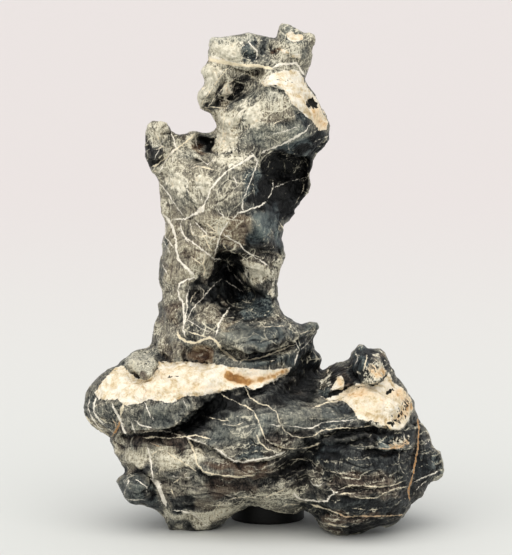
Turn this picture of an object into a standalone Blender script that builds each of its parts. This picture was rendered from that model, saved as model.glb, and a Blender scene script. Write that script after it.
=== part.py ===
"""A scholar's rock: a water-worn peak of dark limestone that stands on two feet and a small round block.

The rock is one solid. Its front outline and its depths are drawn on a sketch of SQUARE squares, x counting to
the right and y counting down, as an eye in front of the rock and a little above it sees them. Every sketch
point lies on a sight line from that eye, and a depth says how far back along world Y the stone is met.
"""

import math

import bmesh
import bpy
import numpy as np

# Driving dimensions, in metres unless a name says otherwise.
SQUARE = 0.0008  # one square of the sketch, so its 513 squares from foot to horn make a rock 0.41 m tall
EYE_DISTANCE = 2.6
EYE_ELEVATION = math.radians(7.0)
SKETCH_CENTRE = np.array([256.0, 277.5])
CENTRE_HEIGHT = 0.2042  # height above the ground of the sketch's centre
SLAB_FRONT = -0.12  # depths between which the outline is first extruded
SLAB_BACK = 0.14
RIM_ROUNDING = 0.030  # how far in from the outline the stone reaches its full depth
RIM_SHARE = 0.16  # share of the full depth that is left right at the outline
LEDGE_BOLDNESS = 1.5
CELL = 0.0020  # size of the remeshing cells
MOST_TRIANGLES = 9300
SHORTEST_EDGE = 0.00005  # shorter ones are merged away where the feet are cut
PAD_TOLERANCE = 0.0003  # points this close to the ground belong to the foot pads

BLOCK_RADIUS = 0.030
BLOCK_HEIGHT = 0.024
BLOCK_CENTRE = (0.0095, 0.044)
BLOCK_BEVEL = 0.0015
BLOCK_SIDES = 48
BLOCK_CLEARANCE = 0.003
SEAT_GAP = 0.0002

UNDERSIDE = 0.034  # mean height of the hollow underside above the ground
UNDERSIDE_LUMPS = 0.003

# The front outline, clockwise from the left corner of the crown, in squares.
OUTLINE = [
    # crown and horn
    (211, 37), (220, 37), (230, 36), (240, 35), (248, 33), (256, 35), (265, 37), (272, 38), (276, 38),
    (278, 33), (280, 26), (282, 24), (289, 25), (296, 29), (301, 32), (305, 34), (309, 33), (314, 35),
    # right side of the head, down to the nose and back under it
    (315, 40), (313, 50), (311, 60), (309, 70), (307, 76), (304, 80), (307, 85), (312, 91), (316, 97),
    (320, 103), (324, 112), (327, 117), (330, 122), (331, 128), (330, 134), (329, 141), (325, 147),
    (320, 151), (315, 155), (313, 161), (313, 168), (310, 173), (310, 179), (311, 185), (310, 190),
    # right side of the tower
    (306, 197), (300, 204), (294, 209), (296, 214), (292, 219), (286, 222), (282, 225), (283, 230),
    (281, 238), (283, 246), (286, 256), (283, 262), (280, 270), (278, 280), (277, 290), (278, 300),
    (279, 308), (284, 315), (291, 319), (298, 323), (303, 325),
    # hook of the skirt, and the notch beside it
    (306, 322), (311, 321), (317, 323), (319, 328), (316, 333), (312, 339), (313, 344), (316, 350),
    (320, 354), (322, 360), (320, 365), (320, 371), (323, 371), (329, 366), (336, 363), (344, 361),
    # right knob and shoulder
    (350, 359), (352, 352), (356, 350), (357, 346), (360, 344), (364, 345), (367, 348), (374, 349),
    (380, 349), (385, 353), (388, 359), (390, 367), (393, 370), (396, 376), (400, 381), (403, 385),
    (407, 391), (411, 396), (414, 402), (414, 408), (418, 416), (421, 422), (425, 427), (429, 433),
    (431, 440), (435, 447), (440, 452), (441, 457), (443, 463), (446, 470), (444, 475), (440, 479),
    # right foot
    (433, 481), (429, 484), (427, 489), (424, 494), (421, 497), (415, 499), (412, 502), (410, 507),
    (406, 512), (403, 517), (399, 521), (392, 526), (386, 528), (376, 527), (369, 530), (362, 533),
    (355, 536), (347, 537), (341, 536), (334, 534), (327, 531), (320, 526), (317, 520), (314, 515),
    # rim of the hollow between the feet
    (309, 512), (303, 509), (296, 513), (288, 516), (280, 515), (272, 513), (262, 512), (258, 509),
    (250, 508), (243, 509), (238, 511), (232, 516), (226, 520), (221, 525), (216, 530),
    # left foot and the small knob above it
    (210, 533), (202, 534), (194, 533), (186, 530), (180, 529), (173, 531), (168, 529), (166, 524),
    (164, 519), (160, 513), (155, 509), (148, 507), (141, 505), (136, 505), (130, 503), (125, 498),
    (121, 492), (118, 486), (116, 482), (119, 478), (124, 474), (126, 471), (122, 465), (119, 458),
    # left snout and shoulder
    (115, 453), (114, 447), (111, 442), (110, 437), (105, 434), (98, 430), (92, 425), (86, 418),
    (83, 411), (83, 403), (85, 395), (90, 387), (95, 381), (101, 375), (107, 370), (114, 367),
    (119, 365), (121, 361), (127, 356), (133, 351), (141, 349), (148, 348), (152, 343), (152, 336),
    # left side of the tower
    (153, 329), (155, 322), (158, 316), (159, 308), (158, 303), (163, 298), (163, 292), (161, 287),
    (158, 282), (159, 276), (160, 268), (160, 260), (162, 252), (162, 244), (164, 237), (165, 230),
    (166, 223), (165, 219), (161, 213), (160, 206), (159, 198), (158, 190), (158, 184), (157, 179),
    # ear, and the saddle between it and the neck
    (153, 174), (149, 168), (146, 160), (145, 150), (146, 142), (146, 133), (148, 125), (153, 121),
    (160, 120), (166, 121), (170, 126), (173, 132), (178, 134), (184, 134), (190, 131), (196, 131),
    (202, 133), (208, 133), (214, 131), (217, 127), (215, 121), (212, 115), (208, 112), (204, 110),
    # left cheek of the head
    (200, 108), (199, 104), (197, 99), (198, 92), (203, 87), (204, 81), (202, 76), (201, 71),
    (204, 67), (209, 63), (208, 57), (208, 49), (209, 43),
]

# Soundings of the stone: sketch x, sketch y, depth of the front and depth of the back in millimetres.
SOUNDINGS = [
    # head
    (215, 50, -8, 42), (248, 48, -22, 50), (268, 50, -10, 48), (297, 45, -14, 34), (308, 62, -6, 26),
    (208, 85, -16, 34), (236, 88, 2, 52), (270, 72, -16, 55), (262, 100, -26, 60), (292, 98, -32, 50),
    (320, 116, -16, 30), (228, 120, -20, 56), (262, 130, -32, 62), (300, 142, -26, 44),
    # ear and upper tower
    (158, 140, -14, 26), (182, 150, -4, 42), (203, 143, 4, 50), (170, 172, -16, 40), (190, 190, -26, 56),
    (230, 175, -40, 68), (252, 190, -36, 72), (285, 178, 6, 62), (304, 176, 6, 36), (178, 215, -18, 48),
    (228, 225, -38, 74), (264, 228, -32, 62), (290, 210, -4, 40),
    # lower tower and its skirt
    (172, 250, -18, 50), (200, 262, -28, 66), (228, 275, 2, 74), (264, 272, -14, 56), (178, 292, -24, 58),
    (222, 302, -2, 80), (258, 305, -14, 66), (168, 325, -22, 62), (205, 335, -36, 86), (250, 338, -46, 92),
    (290, 332, -34, 72), (314, 326, -10, 26),
    # shelf between the skirt and the foot of the rock
    (138, 362, -12, 46), (205, 358, -26, 92), (280, 357, -38, 98), (110, 385, -30, 48), (150, 385, -44, 78),
    (205, 380, -50, 100), (255, 382, -50, 106), (300, 385, -24, 98),
    # right knob, saddle and spur
    (335, 380, -14, 74), (366, 364, -26, 48), (352, 395, -36, 80), (388, 402, -42, 62), (406, 405, -30, 44),
    (400, 440, -44, 62), (424, 450, -22, 40), (438, 467, -8, 20),
    # belly
    (95, 408, -24, 34), (130, 416, -46, 60), (175, 412, -54, 84), (215, 418, -46, 100), (250, 418, -64, 108),
    (295, 420, -62, 106), (330, 418, -54, 98), (118, 448, -20, 40), (150, 448, -34, 64), (195, 450, -54, 88),
    (235, 452, -66, 102), (272, 455, -66, 106), (305, 462, -48, 98), (350, 455, -66, 86),
    # feet and the rim between them
    (135, 487, -40, 30), (165, 485, -38, 58), (200, 487, -50, 78), (240, 487, -54, 90), (275, 487, -52, 88),
    (305, 490, -48, 80), (350, 490, -74, 74), (392, 488, -60, 46), (422, 485, -24, 28), (178, 520, -26, 30),
    (205, 525, -22, 30), (250, 507, -34, 84), (290, 508, -40, 74), (335, 518, -62, 30), (365, 520, -60, 16),
    (395, 512, -50, 20), (350, 535, -42, 4),
]

# Bulges and hollows of the front: a line on the sketch, how far it reaches to each side in squares, and how
# far the stone stands out there in millimetres, less than nothing for a hollow.
FRONT_RELIEF = [
    # head: the dark wedge under the band, the crease along its left edge, brow, pit, cheek and horn
    ([(256, 76), (246, 86), (236, 95), (222, 101)], 13, -13),
    ([(224, 84), (213, 97), (203, 107)], 5, -4),
    ([(210, 66), (206, 88)], 11, 3),
    ([(266, 84), (286, 90), (304, 104), (322, 116)], 13, 5),
    ([(310, 102), (315, 106)], 7, -8),
    ([(232, 124), (246, 116), (258, 122)], 14, 4),
    ([(275, 118), (290, 126)], 9, -3),
    ([(247, 55), (256, 58)], 8, -4),
    ([(272, 46), (276, 56)], 6, -4),
    ([(288, 52), (300, 58)], 9, 2),
    # ear: its knob, the hole beside it and the small recess below that
    ([(157, 130), (156, 156)], 9, 4),
    ([(171, 134), (172, 148), (166, 164)], 7, -3),
    ([(200, 142), (206, 144)], 9, -10),
    ([(197, 161), (206, 165)], 6, -5),
    ([(182, 184), (204, 180)], 15, 3),
    # right side of the upper tower, in the shade of the head
    ([(280, 172), (298, 168), (302, 184)], 22, -12),
    ([(300, 146), (304, 152)], 10, 2),
    ([(268, 196), (262, 186)], 12, -4),
    ([(290, 212), (284, 208)], 9, -3),
    # smooth bulge, the crease under it, and the deep hollow beside the pale column
    ([(258, 222), (266, 234)], 22, 7),
    ([(248, 251), (266, 255), (281, 256)], 6, -4),
    ([(224, 262), (232, 276), (236, 296)], 19, -24),
    ([(250, 300), (262, 312)], 18, -9),
    ([(254, 268), (268, 276)], 12, 5),
    ([(196, 294), (200, 300)], 7, -8),
    ([(183, 288), (184, 312), (187, 334)], 8, 4),
    ([(166, 262), (168, 280)], 8, 2),
    ([(205, 322), (214, 312)], 9, 3),
    # skirt, the crevice under it, the red recess and the knob beside that
    ([(222, 334), (250, 338), (282, 332), (304, 326)], 12, 6),
    ([(224, 350), (250, 357), (272, 353), (292, 345)], 7, -10),
    ([(190, 354), (206, 356)], 11, -9),
    ([(172, 338), (175, 352)], 10, 5),
    ([(306, 356), (308, 376)], 14, -8),
    ([(262, 362), (284, 358)], 8, 2),
    # shoulder lobe, and the shaded triangle beside the slab
    ([(134, 362), (148, 366)], 16, 9),
    ([(188, 424), (204, 412), (216, 403)], 12, -9),
    ([(258, 396), (268, 392)], 10, 4),
    ([(292, 388), (306, 396)], 16, -8),
    # slab and its folds
    ([(96, 404), (104, 420)], 7, 3),
    ([(150, 412), (170, 410)], 14, 3),
    ([(119, 410), (124, 430)], 5, -3),
    ([(135, 410), (142, 428)], 5, -2),
    # belly
    ([(222, 416), (232, 436)], 22, 6),
    ([(262, 416), (258, 440)], 9, 3),
    ([(290, 414), (330, 412)], 16, 5),
    ([(282, 432), (304, 434)], 8, -3),
    ([(130, 456), (146, 464)], 14, 3),
    ([(172, 462), (184, 456)], 12, 3),
    # recess between belly and right foot, and the dark folds above the rim
    ([(214, 482), (246, 485), (272, 480)], 11, -9),
    ([(284, 468), (300, 462), (310, 448)], 15, -13),
    ([(298, 488), (304, 478)], 9, -7),
    ([(318, 486), (332, 492)], 8, 5),
    # right knob, and the folds on its face
    ([(366, 362), (376, 370)], 13, 4),
    ([(352, 372), (358, 362)], 6, -3),
    ([(328, 384), (342, 376)], 9, 3),
    # right block: shaded niche, groove and strata
    ([(376, 440), (396, 440)], 9, -6),
    ([(368, 452), (384, 454), (400, 452)], 5, -9),
    ([(322, 444), (346, 445), (366, 440)], 6, -7),
    ([(340, 470), (380, 466)], 18, 4),
    ([(424, 456), (432, 464)], 8, 3),
    ([(418, 424), (418, 452), (414, 476), (411, 500)], 5, -4),
    # nodule over the left foot, and the foot's own folds
    ([(130, 488), (138, 492)], 12, 6),
    ([(126, 473), (142, 472), (152, 482), (153, 498)], 5, -5),
    ([(184, 490), (200, 496)], 10, 3),
    ([(176, 508), (196, 506), (214, 510)], 5, -4),
]

# Ledges of the front, from left to right: a line, how far it reaches to each side in squares, how far the
# stone just above the line stands out and how far the stone just below it falls back, in millimetres.
FRONT_LEDGES = [
    ([(230, 66), (246, 69), (262, 70)], 12, 3, 7),
    ([(262, 84), (280, 89), (288, 96)], 10, 2, 3),
    ([(266, 157), (288, 158), (311, 157)], 14, 3, 10),
    ([(190, 156), (208, 162)], 8, 2, 3),
    ([(214, 254), (228, 253), (243, 252)], 12, 2, 8),
    ([(190, 284), (204, 280), (218, 276)], 9, 2, 5),
    ([(214, 346), (236, 352), (262, 350), (290, 342), (302, 337)], 11, 4, 6),
    ([(126, 370), (140, 379), (150, 379), (159, 366)], 9, 2, 7),
    ([(160, 352), (172, 362), (186, 361), (214, 364)], 8, 2, 6),
    ([(112, 437), (138, 432), (168, 431), (190, 418), (210, 402)], 15, 5, 13),
    ([(216, 394), (238, 389), (256, 391), (276, 380), (292, 370)], 10, 2, 5),
    ([(183, 438), (212, 449), (238, 462), (262, 460), (284, 453)], 11, 3, 6),
    ([(195, 466), (208, 475), (238, 478), (262, 476)], 10, 3, 6),
    ([(270, 442), (292, 450), (312, 447)], 8, 2, 5),
    ([(312, 438), (338, 430), (374, 428)], 10, 3, 5),
    ([(322, 397), (336, 391), (352, 385), (374, 386), (388, 374)], 9, 4, 4),
    ([(360, 421), (378, 428), (398, 431), (411, 420)], 10, 3, 8),
    ([(370, 449), (400, 450), (412, 448)], 7, 3, 5),
    ([(316, 484), (345, 488), (376, 487), (410, 482)], 8, 2, 2),
    ([(330, 494), (362, 499), (390, 492), (408, 487)], 7, 2, 2),
    ([(306, 502), (334, 510), (352, 517), (382, 516), (404, 513)], 7, 3, 3),
    ([(322, 522), (344, 527), (366, 524)], 6, 2, 2),
    ([(168, 508), (190, 513), (206, 524)], 7, 2, 2),
]

# The back, seen through the rock on the same sketch, with millimetres counted outwards there too.
BACK_RELIEF = [
    ([(236, 60), (262, 78)], 18, -8),
    ([(222, 108), (250, 120)], 16, 7),
    ([(284, 74), (292, 104)], 14, 6),
    ([(276, 136), (252, 152)], 16, -9),
    ([(188, 152), (214, 168)], 14, -7),
    ([(178, 190), (186, 236)], 18, 7),
    ([(232, 188), (252, 214)], 20, 9),
    ([(272, 200), (268, 246)], 14, -8),
    ([(206, 232), (222, 268)], 16, -14),
    ([(252, 276), (262, 312)], 18, 8),
    ([(178, 284), (190, 322)], 14, -7),
    ([(214, 306), (236, 334)], 16, 7),
    ([(286, 350), (262, 366)], 15, -10),
    ([(146, 380), (188, 372)], 20, 9),
    ([(118, 396), (130, 426)], 15, -7),
    ([(206, 392), (250, 404)], 22, -13),
    ([(166, 430), (200, 446)], 18, 8),
    ([(300, 396), (338, 410)], 22, 9),
    ([(366, 372), (360, 392)], 16, -7),
    ([(390, 412), (374, 440)], 18, 8),
    ([(262, 446), (300, 456)], 24, 8),
    ([(342, 446), (330, 470)], 14, -11),
    ([(218, 470), (240, 486)], 15, -9),
    ([(150, 470), (182, 486)], 16, 6),
    ([(390, 472), (372, 496)], 15, -6),
]
BACK_LEDGES = [
    ([(208, 94), (246, 92), (280, 108), (312, 104)], 14, 4, 6),
    ([(164, 176), (200, 186), (236, 170)], 14, 4, 5),
    ([(218, 226), (250, 236), (280, 226)], 14, 4, 6),
    ([(164, 262), (196, 272), (232, 290), (272, 282)], 14, 4, 6),
    ([(166, 342), (206, 352), (252, 344), (300, 336)], 16, 5, 8),
    ([(100, 404), (150, 412), (196, 404), (236, 424)], 16, 5, 9),
    ([(262, 424), (300, 432), (346, 422), (400, 430)], 15, 5, 7),
    ([(124, 458), (170, 464), (214, 456)], 13, 4, 6),
    ([(250, 482), (300, 488), (352, 480), (404, 484)], 13, 4, 6),
]

# Where the rock stands: centre and radii of each foot, and of the boss that rests on the block.
FEET = [((-0.048, -0.002), (0.026, 0.018)), ((0.074, -0.018), (0.038, 0.024))]
FOOT_FLARE = 0.020
FOOT_DEPTH = 0.004  # how far the feet reach into the ground before they are cut off flat
BOSS_RADIUS = 0.016


def sight_axes():
    """The eye's right, forward and up directions."""
    cos, sin = math.cos(EYE_ELEVATION), math.sin(EYE_ELEVATION)
    return np.array([1.0, 0, 0]), np.array([0, cos, -sin]), np.array([0, sin, cos])


def eye_point():
    """The eye, EYE_DISTANCE in front of the sketch's centre."""
    return np.array([0, 0, CENTRE_HEIGHT]) - EYE_DISTANCE * sight_axes()[1]


def to_sketch(points):
    """Sketch coordinates, in squares, of points in space."""
    right, forward, up = sight_axes()
    away = points - eye_point()
    scale = EYE_DISTANCE / (away @ forward) / SQUARE
    return SKETCH_CENTRE + np.stack([away @ right * scale, -(away @ up) * scale], axis=1)


def from_sketch(sketch, depth):
    """Points in space on the sight lines of sketch points, where those lines reach a depth in metres."""
    right, forward, up = sight_axes()
    across = (np.asarray(sketch, float) - SKETCH_CENTRE) * SQUARE / EYE_DISTANCE
    line = forward + across[:, :1] * right - across[:, 1:] * up
    return eye_point() + line * ((depth - eye_point()[1]) / line[:, 1])[:, None]


def polyline_distance(points, line):
    """Distance of each point to an open line, and the signed offset to the left of its nearest stretch."""
    best = np.full(len(points), np.inf)
    side = np.zeros(len(points))
    line = np.asarray(line, float)
    for start, end in zip(line[:-1], line[1:]):
        along = end - start
        away = points - start
        share = np.clip(away @ along / (along @ along), 0, 1)
        gap = np.hypot(*(away - share[:, None] * along).T)
        offset = (along[0] * away[:, 1] - along[1] * away[:, 0]) / np.hypot(*along)
        nearer = gap < best
        best[nearer] = gap[nearer]
        side[nearer] = offset[nearer]
    return best, side


def inside_distance(points, outline):
    """Distance of each point to a closed outline, positive inside it and negative outside."""
    outline = np.asarray(outline, float)
    gap, _ = polyline_distance(points, np.vstack([outline, outline[:1]]))
    inside = np.zeros(len(points), bool)
    x, y = points.T
    for (x0, y0), (x1, y1) in zip(outline, np.roll(outline, -1, axis=0)):
        if y0 != y1:
            inside ^= ((y0 > y) != (y1 > y)) & (x < (x1 - x0) * (y - y0) / (y1 - y0) + x0)
    return np.where(inside, gap, -gap)


def ease(x):
    """0 below 0, 1 above 1, and a smooth rise between."""
    x = np.clip(x, 0, 1)
    return x * x * (3 - 2 * x)


def spline_sheet(sites, values, points):
    """A thin plate bent through values at its sites, read at points."""

    def bend(gap):
        return np.where(gap > 0, gap * gap * np.log(np.maximum(gap, 1e-9)), 0)

    def flat(at):
        return np.column_stack([np.ones(len(at)), at])

    stiffness = 60.0  # lets the plate miss a sounding by a little, so it doesn't ripple
    gaps = np.linalg.norm(sites[:, None] - sites[None], axis=2)
    system = np.zeros((len(sites) + 3,) * 2)
    system[:-3, :-3] = bend(gaps) + stiffness * np.eye(len(sites))
    system[:-3, -3:] = flat(sites)
    system[-3:, :-3] = flat(sites).T
    weights = np.linalg.solve(system, np.concatenate([values, np.zeros(3)]))
    read = np.linalg.norm(points[:, None] - sites[None], axis=2)
    return bend(read) @ weights[:-3] + flat(points) @ weights[-3:]


def clear_scene():
    """Removes every object of the scene."""
    for thing in list(bpy.data.objects):
        bpy.data.objects.remove(thing, do_unlink=True)


def add_object(name, mesh):
    """An object of the scene that shows a mesh."""
    thing = bpy.data.objects.new(name, mesh)
    bpy.context.scene.collection.objects.link(thing)
    return thing


def settle(thing):
    """Applies an object's modifiers to its mesh."""
    graph = bpy.context.evaluated_depsgraph_get()
    made = bpy.data.meshes.new_from_object(thing.evaluated_get(graph))
    old = thing.data
    thing.modifiers.clear()
    thing.data = made
    bpy.data.meshes.remove(old)


def remesh(thing, smoothing):
    """Makes the mesh one even skin of CELL cells, eased by a number of smoothing passes."""
    skin = thing.modifiers.new("skin", "REMESH")
    skin.mode = "VOXEL"
    skin.voxel_size = CELL
    if smoothing:
        soft = thing.modifiers.new("soft", "SMOOTH")
        soft.factor = 0.5
        soft.iterations = smoothing
    settle(thing)


def read_points(thing):
    """An object's vertices as an array."""
    flat = np.empty(len(thing.data.vertices) * 3)
    thing.data.vertices.foreach_get("co", flat)
    return flat.reshape(-1, 3)


def read_normals(thing):
    """An object's vertex normals as an array."""
    flat = np.empty(len(thing.data.vertices) * 3)
    thing.data.vertex_normals.foreach_get("vector", flat)
    return flat.reshape(-1, 3)


def write_points(thing, points):
    """Puts an array back as an object's vertices."""
    thing.data.vertices.foreach_set("co", points.ravel())
    thing.data.update()


def outline_slab():
    """The outline extruded along the sight lines."""
    mesh = bmesh.new()
    count = len(OUTLINE)
    rings = [
        [mesh.verts.new(point) for point in from_sketch(OUTLINE, np.full(count, depth))]
        for depth in (SLAB_FRONT, SLAB_BACK)
    ]
    front, back = rings
    mesh.faces.new(front)
    mesh.faces.new(back[::-1])
    for i in range(count):
        j = (i + 1) % count
        mesh.faces.new((front[j], front[i], back[i], back[j]))
    bmesh.ops.recalc_face_normals(mesh, faces=mesh.faces)
    made = bpy.data.meshes.new("rock")
    mesh.to_mesh(made)
    mesh.free()
    return add_object("rock", made)


def relief_height(sketch, strokes, ledges):
    """How far the stone stands out at sketch points, in metres."""
    height = np.zeros(len(sketch))
    for line, reach, rise in strokes:
        gap, _ = polyline_distance(sketch, line)
        height += rise * (1 - ease(gap / reach))
    for line, reach, rise, fall in ledges:
        gap, side = polyline_distance(sketch, line)
        fade = np.clip(1 - gap / reach, 0, 1) ** 2
        height += LEDGE_BOLDNESS * fade * np.where(side < 0, rise, -fall)
    return height / 1000


def swell(rock):
    """Moves the slab's faces along their sight lines to the sounded depths, rounded towards the outline."""
    points = read_points(rock)
    sketch = to_sketch(points)
    sites = np.array([sounding[:2] for sounding in SOUNDINGS], float)
    fronts, backs = (np.array([s[i] for s in SOUNDINGS], float) / 1000 for i in (2, 3))
    inward = np.clip(inside_distance(sketch, OUTLINE) * SQUARE / RIM_ROUNDING, 0, 1)
    fullness = RIM_SHARE + (1 - RIM_SHARE) * np.sqrt(1 - (1 - inward) ** 2)
    detail = ease(inward * 4)
    plain_front = spline_sheet(sites, fronts, sketch)
    plain_back = spline_sheet(sites, backs, sketch)
    middle = (plain_front + plain_back) / 2
    reach = np.maximum((plain_back - plain_front) / 2, 0.006) * fullness
    front = middle - reach - detail * relief_height(sketch, FRONT_RELIEF, FRONT_LEDGES)
    back = middle + reach + detail * relief_height(sketch, BACK_RELIEF, BACK_LEDGES)
    back = np.maximum(back, front + 0.012 * fullness)
    through = (points[:, 1] - SLAB_FRONT) / (SLAB_BACK - SLAB_FRONT)
    write_points(rock, from_sketch(sketch, front + through * (back - front)))


def random_field(points, size, seed, flatness=1.0):
    """A smooth random field of spread 1 whose lumps are about a size wide, and flatter by a factor upwards."""
    waves = 24
    dice = np.random.default_rng(seed)
    headings = dice.normal(size=(waves, 3))
    headings *= (dice.uniform(0.7, 1.3, waves) / np.linalg.norm(headings, axis=1))[:, None]
    headings[:, 2] *= flatness
    phases = dice.uniform(0, 2 * math.pi, waves)
    return np.cos(points @ headings.T * math.pi / size + phases).sum(axis=1) / math.sqrt(waves / 2)


def roughen(rock):
    """Adds lumps and folds along the normals: strong behind, where no line is drawn, and slight in front."""
    points = read_points(rock)
    normals = read_normals(rock)
    behind = ease((normals @ sight_axes()[1] + 0.35) / 0.7)
    room = np.clip(inside_distance(to_sketch(points), OUTLINE) * SQUARE * 0.6, 0, None)
    lumps = 0.7 * random_field(points, 0.034, 4) + 0.3 * random_field(points, 0.017, 9)
    folds = 0.6 - np.abs(random_field(points, 0.040, 21, flatness=2.6))
    push = (0.0009 + 0.0030 * behind) * lumps + (0.0006 + 0.0030 * behind) * folds
    write_points(rock, points + normals * np.clip(push, -room - 0.0004, room)[:, None])


def foot_floor(points):
    """The lowest the rock may reach above each point: the hollow underside, but for the feet and the boss."""
    floor = UNDERSIDE + UNDERSIDE_LUMPS * random_field(points * (1, 1, 0), 0.020, 33)
    for (x, y), (rx, ry) in FEET:
        outside = (np.hypot((points[:, 0] - x) / rx, (points[:, 1] - y) / ry) - 1) * min(rx, ry)
        floor = np.minimum(floor, (floor + FOOT_DEPTH) * ease(outside / FOOT_FLARE) - FOOT_DEPTH)
    from_block = np.hypot(points[:, 0] - BLOCK_CENTRE[0], points[:, 1] - BLOCK_CENTRE[1])
    seat = BLOCK_HEIGHT + SEAT_GAP
    floor = np.minimum(floor, seat + (floor - seat) * ease((from_block - BOSS_RADIUS) / FOOT_FLARE))
    clear = 1 - ease((from_block - BLOCK_RADIUS - BLOCK_CLEARANCE) / BLOCK_CLEARANCE)
    return np.where(clear > 0, np.maximum(floor, seat * clear), floor)


def lift_underside(rock):
    """Raises what lies below the hollow underside."""
    points = read_points(rock)
    points[:, 2] = np.maximum(points[:, 2], foot_floor(points))
    write_points(rock, points)


def cut_feet(rock):
    """Cuts the feet off flat at the ground."""
    mesh = bmesh.new()
    mesh.from_mesh(rock.data)
    whole = mesh.verts[:] + mesh.edges[:] + mesh.faces[:]
    ground = (0, 0, 0)
    cut = bmesh.ops.bisect_plane(mesh, geom=whole, plane_co=ground, plane_no=(0, 0, 1), clear_inner=True)
    rim = [part for part in cut["geom_cut"] if isinstance(part, bmesh.types.BMEdge)]
    bmesh.ops.holes_fill(mesh, edges=rim, sides=0)
    bmesh.ops.remove_doubles(mesh, verts=mesh.verts, dist=SHORTEST_EDGE)
    bmesh.ops.triangulate(mesh, faces=[face for face in mesh.faces if len(face.verts) > 3])
    bmesh.ops.recalc_face_normals(mesh, faces=mesh.faces)
    mesh.to_mesh(rock.data)
    mesh.free()


def thin_out(rock):
    """Collapses the skin to MOST_TRIANGLES, and puts the foot pads back on the ground."""
    thin = rock.modifiers.new("thin", "DECIMATE")
    thin.ratio = MOST_TRIANGLES / sum(len(face.vertices) - 2 for face in rock.data.polygons)
    settle(rock)
    points = read_points(rock)
    points[:, 2] = np.where(points[:, 2] < PAD_TOLERANCE, 0, points[:, 2])
    write_points(rock, points)


def stand_block():
    """The round block of dark wood that the rock leans on, its two rims bevelled."""
    profile = [(0, BLOCK_BEVEL), (BLOCK_BEVEL, 0), (BLOCK_HEIGHT - BLOCK_BEVEL, 0), (BLOCK_HEIGHT, BLOCK_BEVEL)]
    mesh = bmesh.new()
    rings = []
    for height, inset in profile:
        radius = BLOCK_RADIUS - inset
        turns = [2 * math.pi * i / BLOCK_SIDES for i in range(BLOCK_SIDES)]
        rings.append([mesh.verts.new((radius * math.cos(t), radius * math.sin(t), height)) for t in turns])
    for low, high in zip(rings, rings[1:]):
        for i in range(BLOCK_SIDES):
            j = (i + 1) % BLOCK_SIDES
            mesh.faces.new((low[i], low[j], high[j], high[i]))
    mesh.faces.new(rings[0][::-1])
    mesh.faces.new(rings[-1])
    made = bpy.data.meshes.new("stand_block")
    mesh.to_mesh(made)
    mesh.free()
    block = add_object("stand_block", made)
    block.location = (*BLOCK_CENTRE, 0)
    return block


def centre_on_origin(things):
    """Moves everything so that the origin is under the middle of the whole, on the ground."""
    corners = np.array([thing.matrix_world @ v.co for thing in things for v in thing.data.vertices])
    middle = (corners.min(axis=0) + corners.max(axis=0)) / 2
    shift = (-middle[0], -middle[1], -corners[:, 2].min())
    print("moved by", shift)
    for thing in things:
        thing.location.x += shift[0]
        thing.location.y += shift[1]
        thing.location.z += shift[2]
    bpy.context.view_layer.update()


def paint(thing, name, colour, roughness):
    """Gives an object a plain material of one colour."""
    material = bpy.data.materials.new(name)
    material.use_nodes = True
    shader = material.node_tree.nodes["Principled BSDF"]
    shader.inputs["Base Color"].default_value = (*colour, 1)
    shader.inputs["Roughness"].default_value = roughness
    shader.inputs["Metallic"].default_value = 0
    thing.data.materials.clear()
    thing.data.materials.append(material)


def main():
    clear_scene()
    rock = outline_slab()
    remesh(rock, 0)
    swell(rock)
    remesh(rock, 1)
    roughen(rock)
    lift_underside(rock)
    remesh(rock, 1)
    lift_underside(rock)
    cut_feet(rock)
    thin_out(rock)
    block = stand_block()
    bpy.context.view_layer.update()
    paint(rock, "dark_limestone", (0.10, 0.10, 0.09), 0.6)
    paint(block, "black_wood", (0.010, 0.009, 0.008), 0.45)
    centre_on_origin([rock, block])


main()
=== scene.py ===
"""The look of a scholar's rock: dark, water-worn limestone with calcite veins, on a small round block.

The rock is sculpted again here, finer than its frame solid, from the same sketch. The sketch counts squares,
x to the right and y down, as an eye in front of the rock and a little above it sees them, and a depth says
how far back along world Y the stone is met. What is only colour is drawn on the same sketch and kept on the
rock's points as attributes, which the stone's material reads.
"""

import logging
import math
from dataclasses import dataclass, field
from enum import Enum
from functools import lru_cache

import bmesh
import bpy
import numpy as np
from mathutils import Matrix, Vector


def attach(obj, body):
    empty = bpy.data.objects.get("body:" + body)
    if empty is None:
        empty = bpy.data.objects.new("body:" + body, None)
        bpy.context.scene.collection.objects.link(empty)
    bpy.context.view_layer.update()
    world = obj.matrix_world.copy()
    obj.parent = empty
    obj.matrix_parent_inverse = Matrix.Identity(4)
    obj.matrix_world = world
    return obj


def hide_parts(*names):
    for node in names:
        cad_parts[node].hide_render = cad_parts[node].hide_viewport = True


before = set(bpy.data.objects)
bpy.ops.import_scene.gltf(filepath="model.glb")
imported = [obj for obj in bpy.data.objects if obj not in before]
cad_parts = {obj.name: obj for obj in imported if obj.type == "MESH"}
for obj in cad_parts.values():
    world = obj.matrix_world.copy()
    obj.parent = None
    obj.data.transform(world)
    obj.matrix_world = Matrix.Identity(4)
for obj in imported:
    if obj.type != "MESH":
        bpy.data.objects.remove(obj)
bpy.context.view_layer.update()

LOG = logging.getLogger("scholars_rock")
Array = np.ndarray
Thing = bpy.types.Object
Socket = bpy.types.NodeSocket
Outputs = bpy.types.bpy_prop_collection
Point = tuple[float, float]
Stops = tuple[tuple[float, str], ...]
Line = str  # places on the sketch in the order they are joined, each written "x,y"


class Tint(Enum):
    """What a vein is filled with, as its place between white calcite and iron stain."""

    WHITE = 0.0
    CREAM = 0.3
    PEACH = 0.65
    RUST = 1.0


WHITE, CREAM, PEACH, RUST = Tint


class Side(Enum):
    """Which side of the rock a drawing is for."""

    FRONT = 1.0
    BACK = -1.0


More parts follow.
